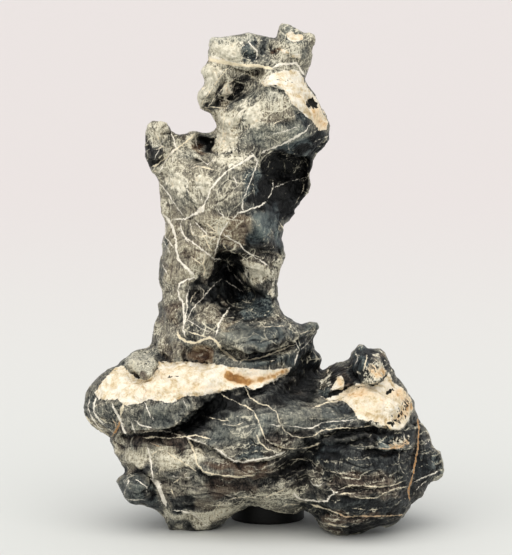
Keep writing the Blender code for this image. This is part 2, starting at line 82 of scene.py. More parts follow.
@dataclass(frozen=True)
class Stroke:
    """A bulge, or a hollow where rise is negative, along a line of the sketch.

    Args:
        reach: how far it goes to each side of the line, in squares.
        rise: how far the stone stands out on the line, in millimetres.
        line: the line.
    """

    reach: float
    rise: float
    line: Line


@dataclass(frozen=True)
class Ledge:
    """A step along a line that is drawn from left to right.

    Args:
        reach: how far it fades out to each side of the line, in squares.
        rise: how far the stone just above the line stands out, in millimetres.
        fall: how far the stone just below it falls back, in millimetres.
        line: the line.
    """

    reach: float
    rise: float
    fall: float
    line: Line


@dataclass(frozen=True)
class Lobe:
    """A rounded piece that stands out from the stone with a crisp edge.

    Args:
        rise: how far its middle stands out, in millimetres, or sinks in where it is negative.
        rounding: how far in from its edge it takes to reach that, in squares.
        line: its closed outline.
    """

    rise: float
    rounding: float
    line: Line


@dataclass(frozen=True)
class Vein:
    """A vein that shows on the surface: its full width in squares, what fills it, and its line."""

    width: float
    tint: Tint
    line: Line


@dataclass(frozen=True)
class Zone:
    """A part of the stone with a tone of its own; in some it is painted shade, and in a few painted light.

    Args:
        tone: how pale it is, from 0, black, to 1, cream.
        tinge: from -1, bluish, to 1, brown; the bluish end is partly the stone's own and partly a painted
            sheen.
        edge: how wide its soft edge is, in squares.
        line: its closed outline.
        grain: how strong its grain is, where 1 is that of plain stone.
    """

    tone: float
    tinge: float
    edge: float
    line: Line
    grain: float = 1.0


@dataclass(frozen=True)
class Wash:
    """A soft-edged tint of the stone along a line.

    Args:
        reach: how far it goes to each side of the line, in squares.
        amount: its strength, less than nothing for the opposite tint.
        line: the line.
    """

    reach: float
    amount: float
    line: Line


# The front outline, clockwise from the left corner of the crown, in squares.
OUTLINE = " ".join((
    # crown and horn
    "211,37 220,37 230,36 240,35 248,33 256,35 265,37 272,38 276,38 278,33 280,26 282,24 289,25 296,29",
    "301,32 305,34 309,33 314,35",
    # right side of the head, down to the nose and back under it
    "315,40 313,50 311,60 309,70 307,76 304,80 307,85 312,91 316,97 320,103 324,112 327,117 330,122",
    "331,128 330,134 329,141 325,147 320,151 315,155 313,161 313,168 310,173 310,179 311,185 310,190",
    # right side of the tower
    "306,197 300,204 294,209 296,214 292,219 286,222 282,225 283,230 281,238 283,246 286,256 283,262",
    "280,270 278,280 277,290 278,300 279,308 284,315 291,319 298,323 303,325",
    # hook of the skirt, and the notch beside it
    "306,322 311,321 317,323 319,328 316,333 312,339 313,344 316,350 320,354 322,360 320,365 320,371",
    "323,371 329,366 336,363 344,361",
    # right knob and shoulder
    "350,359 352,352 356,350 357,346 360,344 364,345 367,348 374,349 380,349 385,353 388,359 390,367",
    "393,370 396,376 400,381 403,385 407,391 411,396 414,402 414,408 418,416 421,422 425,427 429,433",
    "431,440 435,447 440,452 441,457 443,463 446,470 444,475 440,479",
    # right foot
    "433,481 429,484 427,489 424,494 421,497 415,499 412,502 410,507 406,512 403,517 399,521 392,526",
    "386,528 376,527 369,530 362,533 355,536 347,537 341,536 334,534 327,531 320,526 317,520 314,515",
    # rim of the hollow between the feet
    "309,512 303,509 296,513 288,516 280,515 272,513 262,512 258,509 250,508 243,509 238,511 232,516",
    "226,520 221,525 216,530",
    # left foot and the small knob above it
    "210,533 202,534 194,533 186,530 180,529 173,531 168,529 166,524 164,519 160,513 155,509 148,507",
    "141,505 136,505 130,503 125,498 121,492 118,486 116,482 119,478 124,474 126,471 122,465 119,458",
    # left snout and shoulder
    "115,453 114,447 111,442 110,437 105,434 98,430 92,425 86,418 83,411 83,403 85,395 90,387 95,381",
    "101,375 107,370 114,367 119,365 121,361 127,356 133,351 141,349 148,348 152,343 152,336",
    # left side of the tower
    "153,329 155,322 158,316 159,308 158,303 163,298 163,292 161,287 158,282 159,276 160,268 160,260",
    "162,252 162,244 164,237 165,230 166,223 165,219 161,213 160,206 159,198 158,190 158,184 157,179",
    # ear, and the saddle between it and the neck
    "153,174 149,168 146,160 145,150 146,142 146,133 148,125 153,121 160,120 166,121 170,126 173,132",
    "178,134 184,134 190,131 196,131 202,133 208,133 214,131 217,127 215,121 212,115 208,112 204,110",
    # left cheek of the head
    "200,108 199,104 197,99 198,92 203,87 204,81 202,76 201,71 204,67 209,63 208,57 208,49 209,43",
))

# Soundings of the stone: sketch x, sketch y, depth of the front and depth of the back in millimetres.
SOUNDINGS = " ".join((
    # head
    "215,50,-8,42 248,48,-22,50 268,50,-10,48 297,45,-14,34 308,62,-6,26 208,85,-16,34 236,88,2,52",
    "270,72,-16,55 262,100,-26,60 292,98,-32,50 320,116,-16,30 228,120,-20,56 262,130,-32,62 300,142,-26,44",
    # ear and upper tower
    "158,140,-14,26 182,150,-4,42 203,143,4,50 170,172,-16,40 190,190,-26,56 230,175,-40,68 252,190,-36,72",
    "285,178,6,62 304,176,6,36 178,215,-18,48 228,225,-38,74 264,228,-32,62 290,210,-4,40",
    # lower tower and its skirt
    "172,250,-18,50 200,262,-28,66 228,275,2,74 264,272,-14,56 178,292,-24,58 222,302,-2,80 258,305,-14,66",
    "168,325,-22,62 205,335,-36,86 250,338,-46,92 290,332,-34,72 314,326,-10,26",
    # shelf between the skirt and the foot of the rock
    "138,362,-12,46 205,358,-26,92 280,357,-38,98 110,385,-30,48 150,385,-44,78 205,380,-50,100",
    "255,382,-50,106 300,385,-24,98",
    # right knob, saddle and spur
    "335,380,-14,74 366,364,-26,48 352,395,-36,80 388,402,-42,62 406,405,-30,44 400,440,-44,62",
    "424,450,-22,40 438,467,-8,20",
    # belly
    "95,408,-24,34 130,416,-46,60 175,412,-54,84 215,418,-46,100 250,418,-64,108 295,420,-62,106",
    "330,418,-54,98 118,448,-20,40 150,448,-34,64 195,450,-54,88 235,452,-66,102 272,455,-66,106",
    "305,462,-48,98 350,455,-66,86",
    # feet and the rim between them
    "135,487,-40,30 165,485,-38,58 200,487,-50,78 240,487,-54,90 275,487,-52,88 305,490,-48,80",
    "350,490,-71,74 392,488,-60,46 422,485,-24,28 178,520,-26,30 205,525,-22,30 250,507,-43,84",
    "290,508,-46,74 335,518,-62,30 365,520,-60,16 395,512,-50,20 350,535,-42,4",
))

# Bulges, hollows and ledges of the front.
FRONT_STROKES = (
    # head: the dark wedge under the band, the crease along its left edge, brow, pit, cheek and horn
    Stroke(13, -11, "256,76 246,86 236,95 222,101"),
    Stroke(5, -2, "224,84 213,97 203,107"),
    Stroke(11, 1.5, "210,66 206,88"),
    Stroke(13, 5, "266,84 286,90 304,104 322,116"),
    Stroke(7, -8, "310,102 315,106"),
    Stroke(14, 4, "232,124 246,116 258,122"),
    Stroke(9, -3, "275,118 290,126"),
    Stroke(8, -4, "247,55 256,58"),
    Stroke(6, -4, "272,46 276,56"),
    Stroke(9, 2, "288,52 300,58"),
    # ear: its knob, the hole beside it and the small recess below that
    Stroke(9, 4, "157,130 156,156"),
    Stroke(7, -3, "171,134 172,148 166,164"),
    Stroke(9, -10, "200,142 206,144"),
    Stroke(6, -5, "197,161 206,165"),
    Stroke(15, 3, "182,184 204,180"),
    # right side of the upper tower, in the shade of the head
    Stroke(22, -12, "280,172 298,168 302,184"),
    Stroke(10, 2, "300,146 304,152"),
    Stroke(12, -4, "268,196 262,186"),
    Stroke(9, -3, "290,212 284,208"),
    # smooth bulge, the crease under it, and the deep hollow beside the pale column
    Stroke(22, 7, "258,222 266,234"),
    Stroke(6, -4, "248,251 266,255 281,256"),
    Stroke(19, -24, "224,262 232,276 236,296"),
    Stroke(18, -9, "250,300 262,312"),
    Stroke(12, 5, "254,268 268,276"),
    Stroke(7, -8, "196,294 200,300"),
    Stroke(8, 4, "183,288 184,312 187,334"),
    Stroke(8, 2, "166,262 168,280"),
    Stroke(9, 3, "205,322 214,312"),
    # skirt, the crevice under it, the red recess and the knob beside that
    Stroke(12, 6, "222,334 250,338 282,332 304,326"),
    Stroke(7, -10, "224,350 250,357 272,353 292,345"),
    Stroke(14, -4, "194,356 206,358"),
    Stroke(10, 5, "172,338 175,352"),
    Stroke(14, -8, "306,356 308,376"),
    Stroke(8, 2, "262,362 284,358"),
    # shoulder lobe, and the shaded triangle beside the slab
    Stroke(16, 9, "134,362 148,366"),
    Stroke(12, -9, "188,424 204,412 216,403"),
    Stroke(10, 4, "258,396 268,392"),
    Stroke(16, -8, "292,388 306,396"),
    # slab and its folds
    Stroke(7, 3, "96,404 104,420"),
    Stroke(14, 3, "150,412 170,410"),
    Stroke(5, -3, "119,410 124,430"),
    Stroke(5, -2, "135,410 142,428"),
    # belly
    Stroke(22, 6, "222,416 232,436"),
    Stroke(9, 3, "262,416 258,440"),
    Stroke(16, 5, "290,414 330,412"),
    Stroke(8, -3, "282,432 304,434"),
    Stroke(14, 3, "130,456 146,464"),
    Stroke(12, 3, "172,462 184,456"),
    # recess between belly and right foot, and the dark folds above the rim
    Stroke(11, -9, "214,482 246,485 272,480"),
    Stroke(15, -13, "284,468 300,462 310,448"),
    Stroke(9, -7, "298,488 304,478"),
    Stroke(8, 5, "318,486 332,492"),
    # right knob, and the folds on its face
    Stroke(13, 4, "366,362 376,370"),
    Stroke(6, -3, "352,372 358,362"),
    Stroke(9, 3, "328,384 342,376"),
    # right block: shaded niche, groove and strata
    Stroke(9, -6, "376,440 396,440"),
    Stroke(4, -6, "368,452 384,454 400,452"),
    Stroke(6, -7, "322,444 346,445 366,440"),
    Stroke(18, 2, "340,470 380,466"),
    Stroke(8, 3, "424,456 432,464"),
    Stroke(5, -4, "418,424 418,452 414,476 411,500"),
    # nodule over the left foot, and the foot's own folds
    Stroke(12, 6, "130,488 138,492"),
    Stroke(5, -5, "126,473 142,472 152,482 153,498"),
    Stroke(10, 3, "184,490 200,496"),
    Stroke(5, -4, "176,508 196,506 214,510"),
    # finer ones, which only this model has
    Stroke(4, -2.5, "204,106 213,96 224,83"),
    Stroke(3, -2, "150,168 164,160 174,150"),
)
FRONT_LEDGES = (
    Ledge(12, 3, 7, "230,66 246,69 262,70"),
    Ledge(10, 2, 3, "262,84 280,89 288,96"),
    Ledge(14, 3, 10, "266,157 288,158 311,157"),
    Ledge(8, 2, 3, "190,156 208,162"),
    Ledge(12, 2, 8, "214,254 228,253 243,252"),
    Ledge(9, 2, 5, "190,284 204,280 218,276"),
    Ledge(11, 4, 6, "214,346 236,352 262,350 290,342 302,337"),
    Ledge(9, 2, 7, "126,370 140,379 150,379 159,366"),
    Ledge(8, 2, 6, "160,352 172,362 186,361 214,364"),
    Ledge(15, 5, 13, "112,437 138,432 168,431 190,418 210,402"),
    Ledge(10, 2, 5, "216,394 238,389 256,391 276,380 292,370"),
    Ledge(11, 3, 6, "183,438 212,449 238,462 262,460 284,453"),
    Ledge(10, 3, 6, "195,466 208,475 238,478 262,476"),
    Ledge(8, 2, 5, "270,442 292,450 312,447"),
    Ledge(10, 3, 5, "312,438 338,430 374,428"),
    Ledge(9, 4, 4, "322,397 336,391 352,385 374,386 388,374"),
    Ledge(10, 3, 8, "360,421 378,428 398,431 411,420"),
    Ledge(7, 3, 5, "370,449 400,450 412,448"),
    Ledge(8, 2, 2, "316,484 345,488 376,487 410,482"),
    Ledge(7, 2, 2, "330,494 362,499 390,492 408,487"),
    Ledge(7, 3, 3, "306,502 334,510 352,517 382,516 404,513"),
    Ledge(6, 2, 2, "322,522 344,527 366,524"),
    Ledge(7, 2, 2, "168,508 190,513 206,524"),
    # finer ones, which only this model has
    Ledge(5, 1.0, 1.0, "268,430 290,437 312,436"),
)

# The back, seen through the rock on the same sketch, with millimetres counted outwards there too.
BACK_STROKES = (
    Stroke(18, -8, "236,60 262,78"),
    Stroke(16, 7, "222,108 250,120"),
    Stroke(14, 6, "284,74 292,104"),
    Stroke(16, -9, "276,136 252,152"),
    Stroke(14, -7, "188,152 214,168"),
    Stroke(18, 7, "178,190 186,236"),
    Stroke(20, 9, "232,188 252,214"),
    Stroke(14, -8, "272,200 268,246"),
    Stroke(16, -14, "206,232 222,268"),
    Stroke(18, 8, "252,276 262,312"),
    Stroke(14, -7, "178,284 190,322"),
    Stroke(16, 7, "214,306 236,334"),
    Stroke(15, -10, "286,350 262,366"),
    Stroke(20, 9, "146,380 188,372"),
    Stroke(15, -7, "118,396 130,426"),
    Stroke(22, -13, "206,392 250,404"),
    Stroke(18, 8, "166,430 200,446"),
    Stroke(22, 9, "300,396 338,410"),
    Stroke(16, -7, "366,372 360,392"),
    Stroke(18, 8, "390,412 374,440"),
    Stroke(24, 8, "262,446 300,456"),
    Stroke(14, -11, "342,446 330,470"),
    Stroke(15, -9, "218,470 240,486"),
    Stroke(16, 6, "150,470 182,486"),
    Stroke(15, -6, "390,472 372,496"),
)
BACK_LEDGES = (
    Ledge(14, 4, 6, "208,94 246,92 280,108 312,104"),
    Ledge(14, 4, 5, "164,176 200,186 236,170"),
    Ledge(14, 4, 6, "218,226 250,236 280,226"),
    Ledge(14, 4, 6, "164,262 196,272 232,290 272,282"),
    Ledge(16, 5, 8, "166,342 206,352 252,344 300,336"),
    Ledge(16, 5, 9, "100,404 150,412 196,404 236,424"),
    Ledge(15, 5, 7, "262,424 300,432 346,422 400,430"),
    Ledge(13, 4, 6, "124,458 170,464 214,456"),
    Ledge(13, 4, 6, "250,482 300,488 352,480 404,484"),
)

# Finer relief of the front, which only this model has.
FRONT_LOBES = (
    # shoulder lobe, right knob and the lump beside it, and the round end of the right shoulder
    Lobe(8, 9, "122,364 127,357 134,352 141,350 150,351 156,355 158,365 151,377 144,380 137,378 131,374"),
    Lobe(9, 9, "352,372 350,362 356,350 362,345 370,347 380,350 388,360 389,373 383,382 373,386 362,383"),
    Lobe(4, 7, "322,376 332,368 344,363 352,366 354,378 350,388 340,395 328,399 321,392"),
    Lobe(4, 8, "390,393 397,386 406,392 412,402 411,412 408,422 398,430 389,425 386,414 386,402"),
    # smooth boss of the tower, and the lobes of the skirt
    Lobe(4, 9, "246,216 256,209 268,207 277,214 281,228 282,244 276,252 262,253 250,250 245,236"),
    Lobe(4, 8, "215,336 223,330 240,328 262,327 284,329 297,333 290,341 268,350 246,355 232,352 222,345"),
    Lobe(3, 6, "154,346 158,338 165,336 169,345 168,358 161,358"),
    Lobe(3, 6, "170,343 176,336 184,340 186,352 181,362 173,358"),
    # nodule, foot and the fold above it
    Lobe(6, 8, "119,487 123,478 130,472 141,472 149,477 153,486 152,496 146,503 136,504 126,499 121,493"),
    Lobe(2, 8, "164,512 172,509 190,508 206,512 222,508 230,512 222,521 212,528 196,530 178,530 168,524"),
    Lobe(3, 8, "154,458 166,450 180,454 194,464 200,473 190,480 172,482 158,474"),
    # right block, the pieces of the right foot, and the spur
    Lobe(2, 10, "322,446 334,437 352,436 372,437 392,440 408,446 411,462 407,480 409,500 400,513 384,515 "
        "356,515 340,510 330,498 318,480 316,460"),
    Lobe(4, 3, "319,514 332,512 348,518 350,527 340,530 325,526"),
    Lobe(3, 5, "350,521 372,519 392,519 401,516 398,523 384,530 366,534 353,532"),
    Lobe(3, 4, "424,465 430,459 438,463 439,470 430,473"),
    Lobe(3, 5, "419,440 428,436 434,446 432,456 422,454"),
)


# What is drawn in colour on the front.
VEINS = (
    # head
    Vein(3.8, CREAM, "207,59 216,61 228,63 240,65 256,66 268,68 274,69"),
    Vein(2.8, WHITE, "272,68 277,65 286,64 297,63 301,70 306,77"),
    Vein(1.5, WHITE, "248,38 249,43 253,47 257,51 257,57 254,63"),
    Vein(1.5, CREAM, "200,107 206,97 213,87 219,79 224,72 230,67"),
    Vein(1.4, CREAM, "208,107 212,102 216,96 223,88 229,83 236,78 241,74 248,74 255,78"),
    Vein(1.3, CREAM, "201,108 210,107 222,108 232,108"),
    Vein(1.5, CREAM, "225,108 224,118 223,130 223,142"),
    Vein(1.2, CREAM, "240,141 232,143 225,148 219,142 212,135"),
    Vein(2.2, WHITE, "261,153 270,149 285,143 301,134 306,131 309,126 312,122"),
    Vein(1.3, WHITE, "311,143 318,140 326,137 331,134"),
    Vein(1.0, CREAM, "268,126 280,121 292,117 300,112"),
    Vein(0.9, WHITE, "262,140 274,134 288,130 300,126"),
    Vein(1.0, WHITE, "290,136 288,146 291,156"),
    # ear
    Vein(1.9, CREAM, "196,132 190,139 182,145 173,151 166,158 158,164 150,168"),
    Vein(1.2, WHITE, "195,134 196,142 198,149 203,152"),
    Vein(1.2, WHITE, "170,128 173,137 176,147 180,153"),
    Vein(1.5, WHITE, "176,148 170,154 165,162 161,170 157,176"),
    Vein(1.1, WHITE, "172,152 173,160 170,168"),
    Vein(1.0, CREAM, "152,128 158,138 163,148 166,158"),
    Vein(1.0, WHITE, "168,132 163,142 158,152 154,160"),
    Vein(1.0, CREAM, "154,150 163,147 172,149"),
    # upper tower
    Vein(1.6, WHITE, "157,180 164,189 171,198 177,207 184,217"),
    Vein(1.3, WHITE, "193,157 200,159 207,164 214,160"),
    Vein(1.6, CREAM, "190,168 197,166 208,168 222,172"),
    Vein(2.3, WHITE, "257,159 253,155 246,160 236,166 226,172 218,180 211,189 207,199 203,207 197,213 "
        "191,216 185,219 173,219"),
    Vein(1.7, WHITE, "253,155 258,162 255,169 252,178 248,188 244,197 242,207 244,212"),
    Vein(1.0, WHITE, "241,163 249,160 256,164"),
    Vein(1.0, WHITE, "273,178 273,186 271,193 267,201"),
    Vein(2.0, WHITE, "268,200 262,205 254,208 246,211 238,213 232,220"),
    Vein(1.0, WHITE, "272,188 281,185 290,181 299,179 307,177"),
    Vein(0.9, CREAM, "305,180 303,190 298,200 293,207"),
    Vein(1.3, CREAM, "278,220 282,226 284,230"),
    Vein(1.0, WHITE, "232,172 236,182 238,194"),
    # web of veins in the middle of the tower
    Vein(1.6, WHITE, "223,234 228,237 234,241 239,243 243,249 250,254 260,260 271,268"),
    Vein(1.7, WHITE, "194,221 200,227 205,232 209,237 213,239 219,238"),
    Vein(1.5, CREAM, "189,224 191,229 192,234 195,238 200,242 206,246"),
    Vein(2.0, WHITE, "232,221 228,222 225,227 221,233 219,240 216,250 214,257"),
    Vein(1.9, CREAM, "202,237 205,238 207,243 209,247 212,251"),
    Vein(2.2, CREAM, "220,219 217,225 217,232"),
    Vein(2.3, CREAM, "205,223 211,227 217,232"),
    Vein(2.2, CREAM, "207,231 212,233 218,233"),
    Vein(2.2, CREAM, "208,242 213,238 218,234"),
    Vein(2.0, CREAM, "197,236 202,237 207,235 211,238"),
    Vein(1.6, WHITE, "228,232 229,235 232,233"),
    Vein(1.6, CREAM, "219,241 223,244 226,249 230,252"),
    Vein(1.5, WHITE, "217,206 219,212 223,216 224,220"),
    # left side of the tower
    Vein(2.8, WHITE, "162,213 168,219 173,228 176,240 176,250 179,260 185,267 191,272 196,277"),
    Vein(1.6, WHITE, "166,222 165,236 170,243 176,250"),
    Vein(1.2, WHITE, "180,220 181,228 184,236 190,244"),
    Vein(1.1, WHITE, "190,222 192,232 196,238 203,244"),
    Vein(2.0, WHITE, "180,230 185,237 191,241 196,245 203,250 209,255 214,259 224,259"),
    Vein(2.0, CREAM, "205,252 204,258 203,264 205,270 203,278"),
    Vein(1.3, CREAM, "188,255 194,259 203,265"),
    Vein(1.1, WHITE, "161,262 164,268 168,276"),
    Vein(1.0, WHITE, "163,240 167,247 172,256"),
    Vein(2.4, WHITE, "196,277 186,280 180,284 178,289 179,297 183,303 184,315 184,325"),
    Vein(1.8, WHITE, "190,286 187,296 187,308 185,320 183,330 186,338"),
    # round the deep hollow
    Vein(1.2, WHITE, "222,279 217,282 210,289 202,299 197,304 191,311 187,321"),
    Vein(1.2, CREAM, "200,286 204,291 203,297 199,299"),
    Vein(1.0, CREAM, "199,290 193,296 190,303"),
    Vein(0.8, WHITE, "222,279 234,286 250,297"),
    Vein(0.8, WHITE, "227,262 229,270 239,280 248,289"),
    Vein(1.3, WHITE, "188,320 194,324 201,328 208,332"),
    Vein(1.7, CREAM, "187,331 196,334 207,337 216,337"),
    Vein(2.0, WHITE, "230,307 224,315 219,324 217,331 215,338"),
    # lip of the skirt and its ledge
    Vein(2.9, CREAM, "177,331 180,338 187,342 196,343 203,340 210,338 217,342 222,350 230,356 "
        "239,363"),
    Vein(2.0, CREAM, "239,364 242,360 254,359 266,356 278,351 290,346 297,344"),
    Vein(1.7, WHITE, "290,340 296,342 299,349 297,357 294,367"),
    Vein(1.3, WHITE, "310,340 305,346 299,351"),
    Vein(1.1, CREAM, "300,334 308,331 317,330"),
    Vein(1.0, CREAM, "262,328 274,326 288,326"),
    # folds of the belly
    Vein(2.2, WHITE, "184,436 193,440 205,444 216,449 226,456 234,461 242,462 254,460 267,458 278,455 "
        "286,451"),
    Vein(2.0, CREAM, "187,438 192,446 195,455 197,464 203,471 212,474 228,476 242,477 256,475"),
    Vein(1.5, CREAM, "219,392 227,398 236,402 246,406 253,411 258,419 261,429 265,438 272,444 284,448 "
        "296,449 310,447 322,442"),
    Vein(1.4, CREAM, "244,384 247,391 250,398 258,403 268,406 276,411 279,421 284,430 292,436 303,438 "
        "313,436 324,430 338,428 356,428 372,426"),
    Vein(1.4, WHITE, "268,424 278,426 291,426 303,428 312,428 322,423 336,421 356,420"),
    Vein(1.6, CREAM, "310,408 318,406 328,402 342,401"),
    Vein(1.0, CREAM, "310,437 322,430 336,428"),
    Vein(1.5, CREAM, "256,434 260,443 267,449 276,451"),
    Vein(1.0, CREAM, "203,416 216,419 230,421"),
    Vein(1.0, CREAM, "222,424 234,426 246,421"),
    Vein(0.9, CREAM, "271,470 280,466 288,460 300,459 309,461"),
    Vein(0.8, CREAM, "262,469 276,462 288,454"),
    # slab on the left
    Vein(4.0, CREAM, "124,402 122,409 120,417"),
    Vein(2.4, RUST, "121,417 119,425 116,431 112,436"),
    Vein(1.3, PEACH, "112,418 116,425 116,431"),
    Vein(3.0, WHITE, "111,402 114,409 118,415 121,422 123,429 127,436"),
    Vein(2.2, WHITE, "131,421 133,428 136,434"),
    Vein(1.7, WHITE, "133,419 141,425 152,428"),
    Vein(2.0, WHITE, "145,402 148,410 151,418"),
    Vein(1.1, WHITE, "152,417 155,424"),
    Vein(1.1, WHITE, "182,397 185,404 188,410"),
    Vein(1.5, WHITE, "163,402 162,408"),
    Vein(2.3, WHITE, "97,396 94,404 94,412 99,420 106,427"),
    Vein(1.5, WHITE, "90,398 88,406 90,414 96,424 104,431"),
    Vein(1.5, CREAM, "83,413 89,421 97,428 106,434"),
    Vein(1.1, CREAM, "140,433 151,431 162,431 173,433 184,437"),
    Vein(1.6, CREAM, "142,438 156,437 170,438 184,437 195,435 211,439"),
    Vein(1.0, RUST, "148,442 158,446 166,449"),
    # left flank, nodule and foot
    Vein(2.1, WHITE, "147,444 149,453 151,463 152,472 154,481"),
    Vein(5.0, WHITE, "151,479 157,483 160,490 163,498 166,506"),
    Vein(1.7, CREAM, "165,449 172,456 181,461 189,466 198,473"),
    Vein(1.2, CREAM, "165,448 155,452 147,459 140,467 133,471"),
    Vein(1.3, WHITE, "170,510 181,511 191,513 199,519 206,525 210,530"),
    Vein(1.2, CREAM, "190,471 182,476 174,483 171,491 176,500"),
    Vein(1.1, CREAM, "222,494 231,497 242,498"),
    Vein(1.1, WHITE, "127,473 129,480 125,489 124,497"),
    Vein(1.1, WHITE, "132,477 140,482 147,487 146,496"),
    Vein(1.0, WHITE, "121,498 132,500 146,500"),
    Vein(1.0, WHITE, "170,476 184,478 196,476"),
    Vein(1.0, CREAM, "217,510 220,502 226,500"),
    # right knob, block and spur
    Vein(1.4, CREAM, "366,352 367,358 365,364 364,370 362,376"),
    Vein(1.0, WHITE, "355,352 358,358 355,366"),
    Vein(1.9, RUST, "417,416 419,429 418,447 415,463 413,475 408,490 410,502"),
    Vein(1.8, PEACH, "378,448 388,449 398,448 410,441"),
    Vein(1.6, WHITE, "414,482 423,478 432,474 441,470"),
    Vein(1.0, WHITE, "412,494 420,486 430,478"),
    Vein(1.0, CREAM, "400,451 398,461 402,471 409,478"),
    Vein(1.0, WHITE, "424,446 430,440 436,447"),
    Vein(1.7, WHITE, "310,480 314,485 319,486 325,482"),
    Vein(2.0, WHITE, "293,491 297,498 304,500 316,501 327,501 330,496 335,493 331,489"),
    Vein(1.5, CREAM, "336,491 345,487 352,485 364,486 380,487 394,485 406,480"),
    Vein(1.5, CREAM, "337,494 350,493 359,498 377,498 384,493 394,489 408,486"),
    Vein(1.7, CREAM, "308,504 320,507 332,511 343,515"),
    Vein(1.6, PEACH, "336,512 345,517 360,516 382,516 405,515"),
    Vein(1.8, CREAM, "322,523 334,525 347,527"),
    Vein(1.1, CREAM, "320,518 332,519 346,521"),
    Vein(1.0, WHITE, "312,463 316,472 322,478"),
    Vein(0.7, CREAM, "322,470 345,474 372,476 400,470"),
    Vein(0.9, CREAM, "350,508 370,510 392,507"),
    Vein(1.5, CREAM, "217,510 219,505 223,501 231,499 240,497 259,497"),
    Vein(1.5, CREAM, "262,500 268,496 276,493 283,490 288,484"),
    Vein(1.3, WHITE, "225,494 232,497 238,502"),
    Vein(1.3, CREAM, "276,509 288,504 300,505"),
)

# Sheets of pale calcite: closed outlines on the front.
CREAM_PATCHES = (
    # left shoulder, from its tip to the point under the skirt
    "95,393 101,383 108,375 117,367 124,366 130,373 138,379 147,380 154,375 158,367 158,361 165,361 "
    "171,363 182,361 196,363 215,364 240,368 262,370 280,369 291,367 288,373 276,380 262,387 252,390 "
    "246,385 238,388 226,391 214,393 200,396 186,396 172,403 158,401 150,399 138,404 124,405 118,399 "
    "105,400 98,399",
    # right shoulder
    "321,396 327,401 343,401 349,405 354,412 358,419 366,421 378,427 394,430 400,430 408,423 413,408 "
    "411,396 402,388 394,383 391,377 389,372 383,381 372,387 364,384 356,384 350,387 338,395 326,399",
    # cheek
    "260,83 266,78 272,73 281,71 291,70 299,71 305,80 309,89 315,96 321,103 325,113 328,122 326,130 "
    "320,131 312,121 305,115 298,109 293,105 289,97 284,90 273,87 264,86",
    # band at the left edge of the head, and three patches of the horn
    "205,57 214,57 224,59 232,62 241,63 241,66 232,66 224,65 214,62 206,62",
    "286,34 292,30 295,34 303,34 303,40 294,42 288,39",
    "281,50 286,49 290,53 283,54",
    "290,55 301,54 300,58 292,58",
    # node where two veins of the upper tower meet
    "197,213 199,208 205,206 204,211 200,213",
    # small patch left of the right knob
    "330,390 334,384 338,376 343,377 345,384 342,390",
)

# Thinner, sandier crusts.
TAN_PATCHES = (
    "364,372 372,364 380,359 386,364 388,372 384,380 375,384 367,380",
    "217,96 228,84 232,92 228,101",
    "375,352 380,352 379,358 375,357",
    "362,372 366,373 366,378 362,377",
    "208,44 218,42 232,42 246,43 243,50 240,58 228,62 212,64",
    "236,108 246,100 258,104 264,112 263,124 252,132 241,126",
    "190,180 199,175 210,174 212,188 206,199 196,197",
    "212,158 226,154 240,153 250,156 243,163 228,169 216,166",
    "160,170 172,172 184,170 188,184 184,200 176,196 166,184",
    "160,199 168,197 173,206 164,211",
    "244,260 251,265 257,264 263,267 268,271 274,274 272,279 266,281 258,282 250,281 246,276 247,270",
    "277,257 284,255 282,262 279,270 278,278 276,287 274,296 270,294 272,286 274,276 274,268 273,263",
    "214,112 232,109 240,118 236,134 240,150 226,152 216,142 218,128",
    "206,66 224,66 216,84 202,98 199,92 204,82",
    "322,378 330,372 330,384 322,388",
    "390,440 404,434 411,440 404,447 392,448",
)
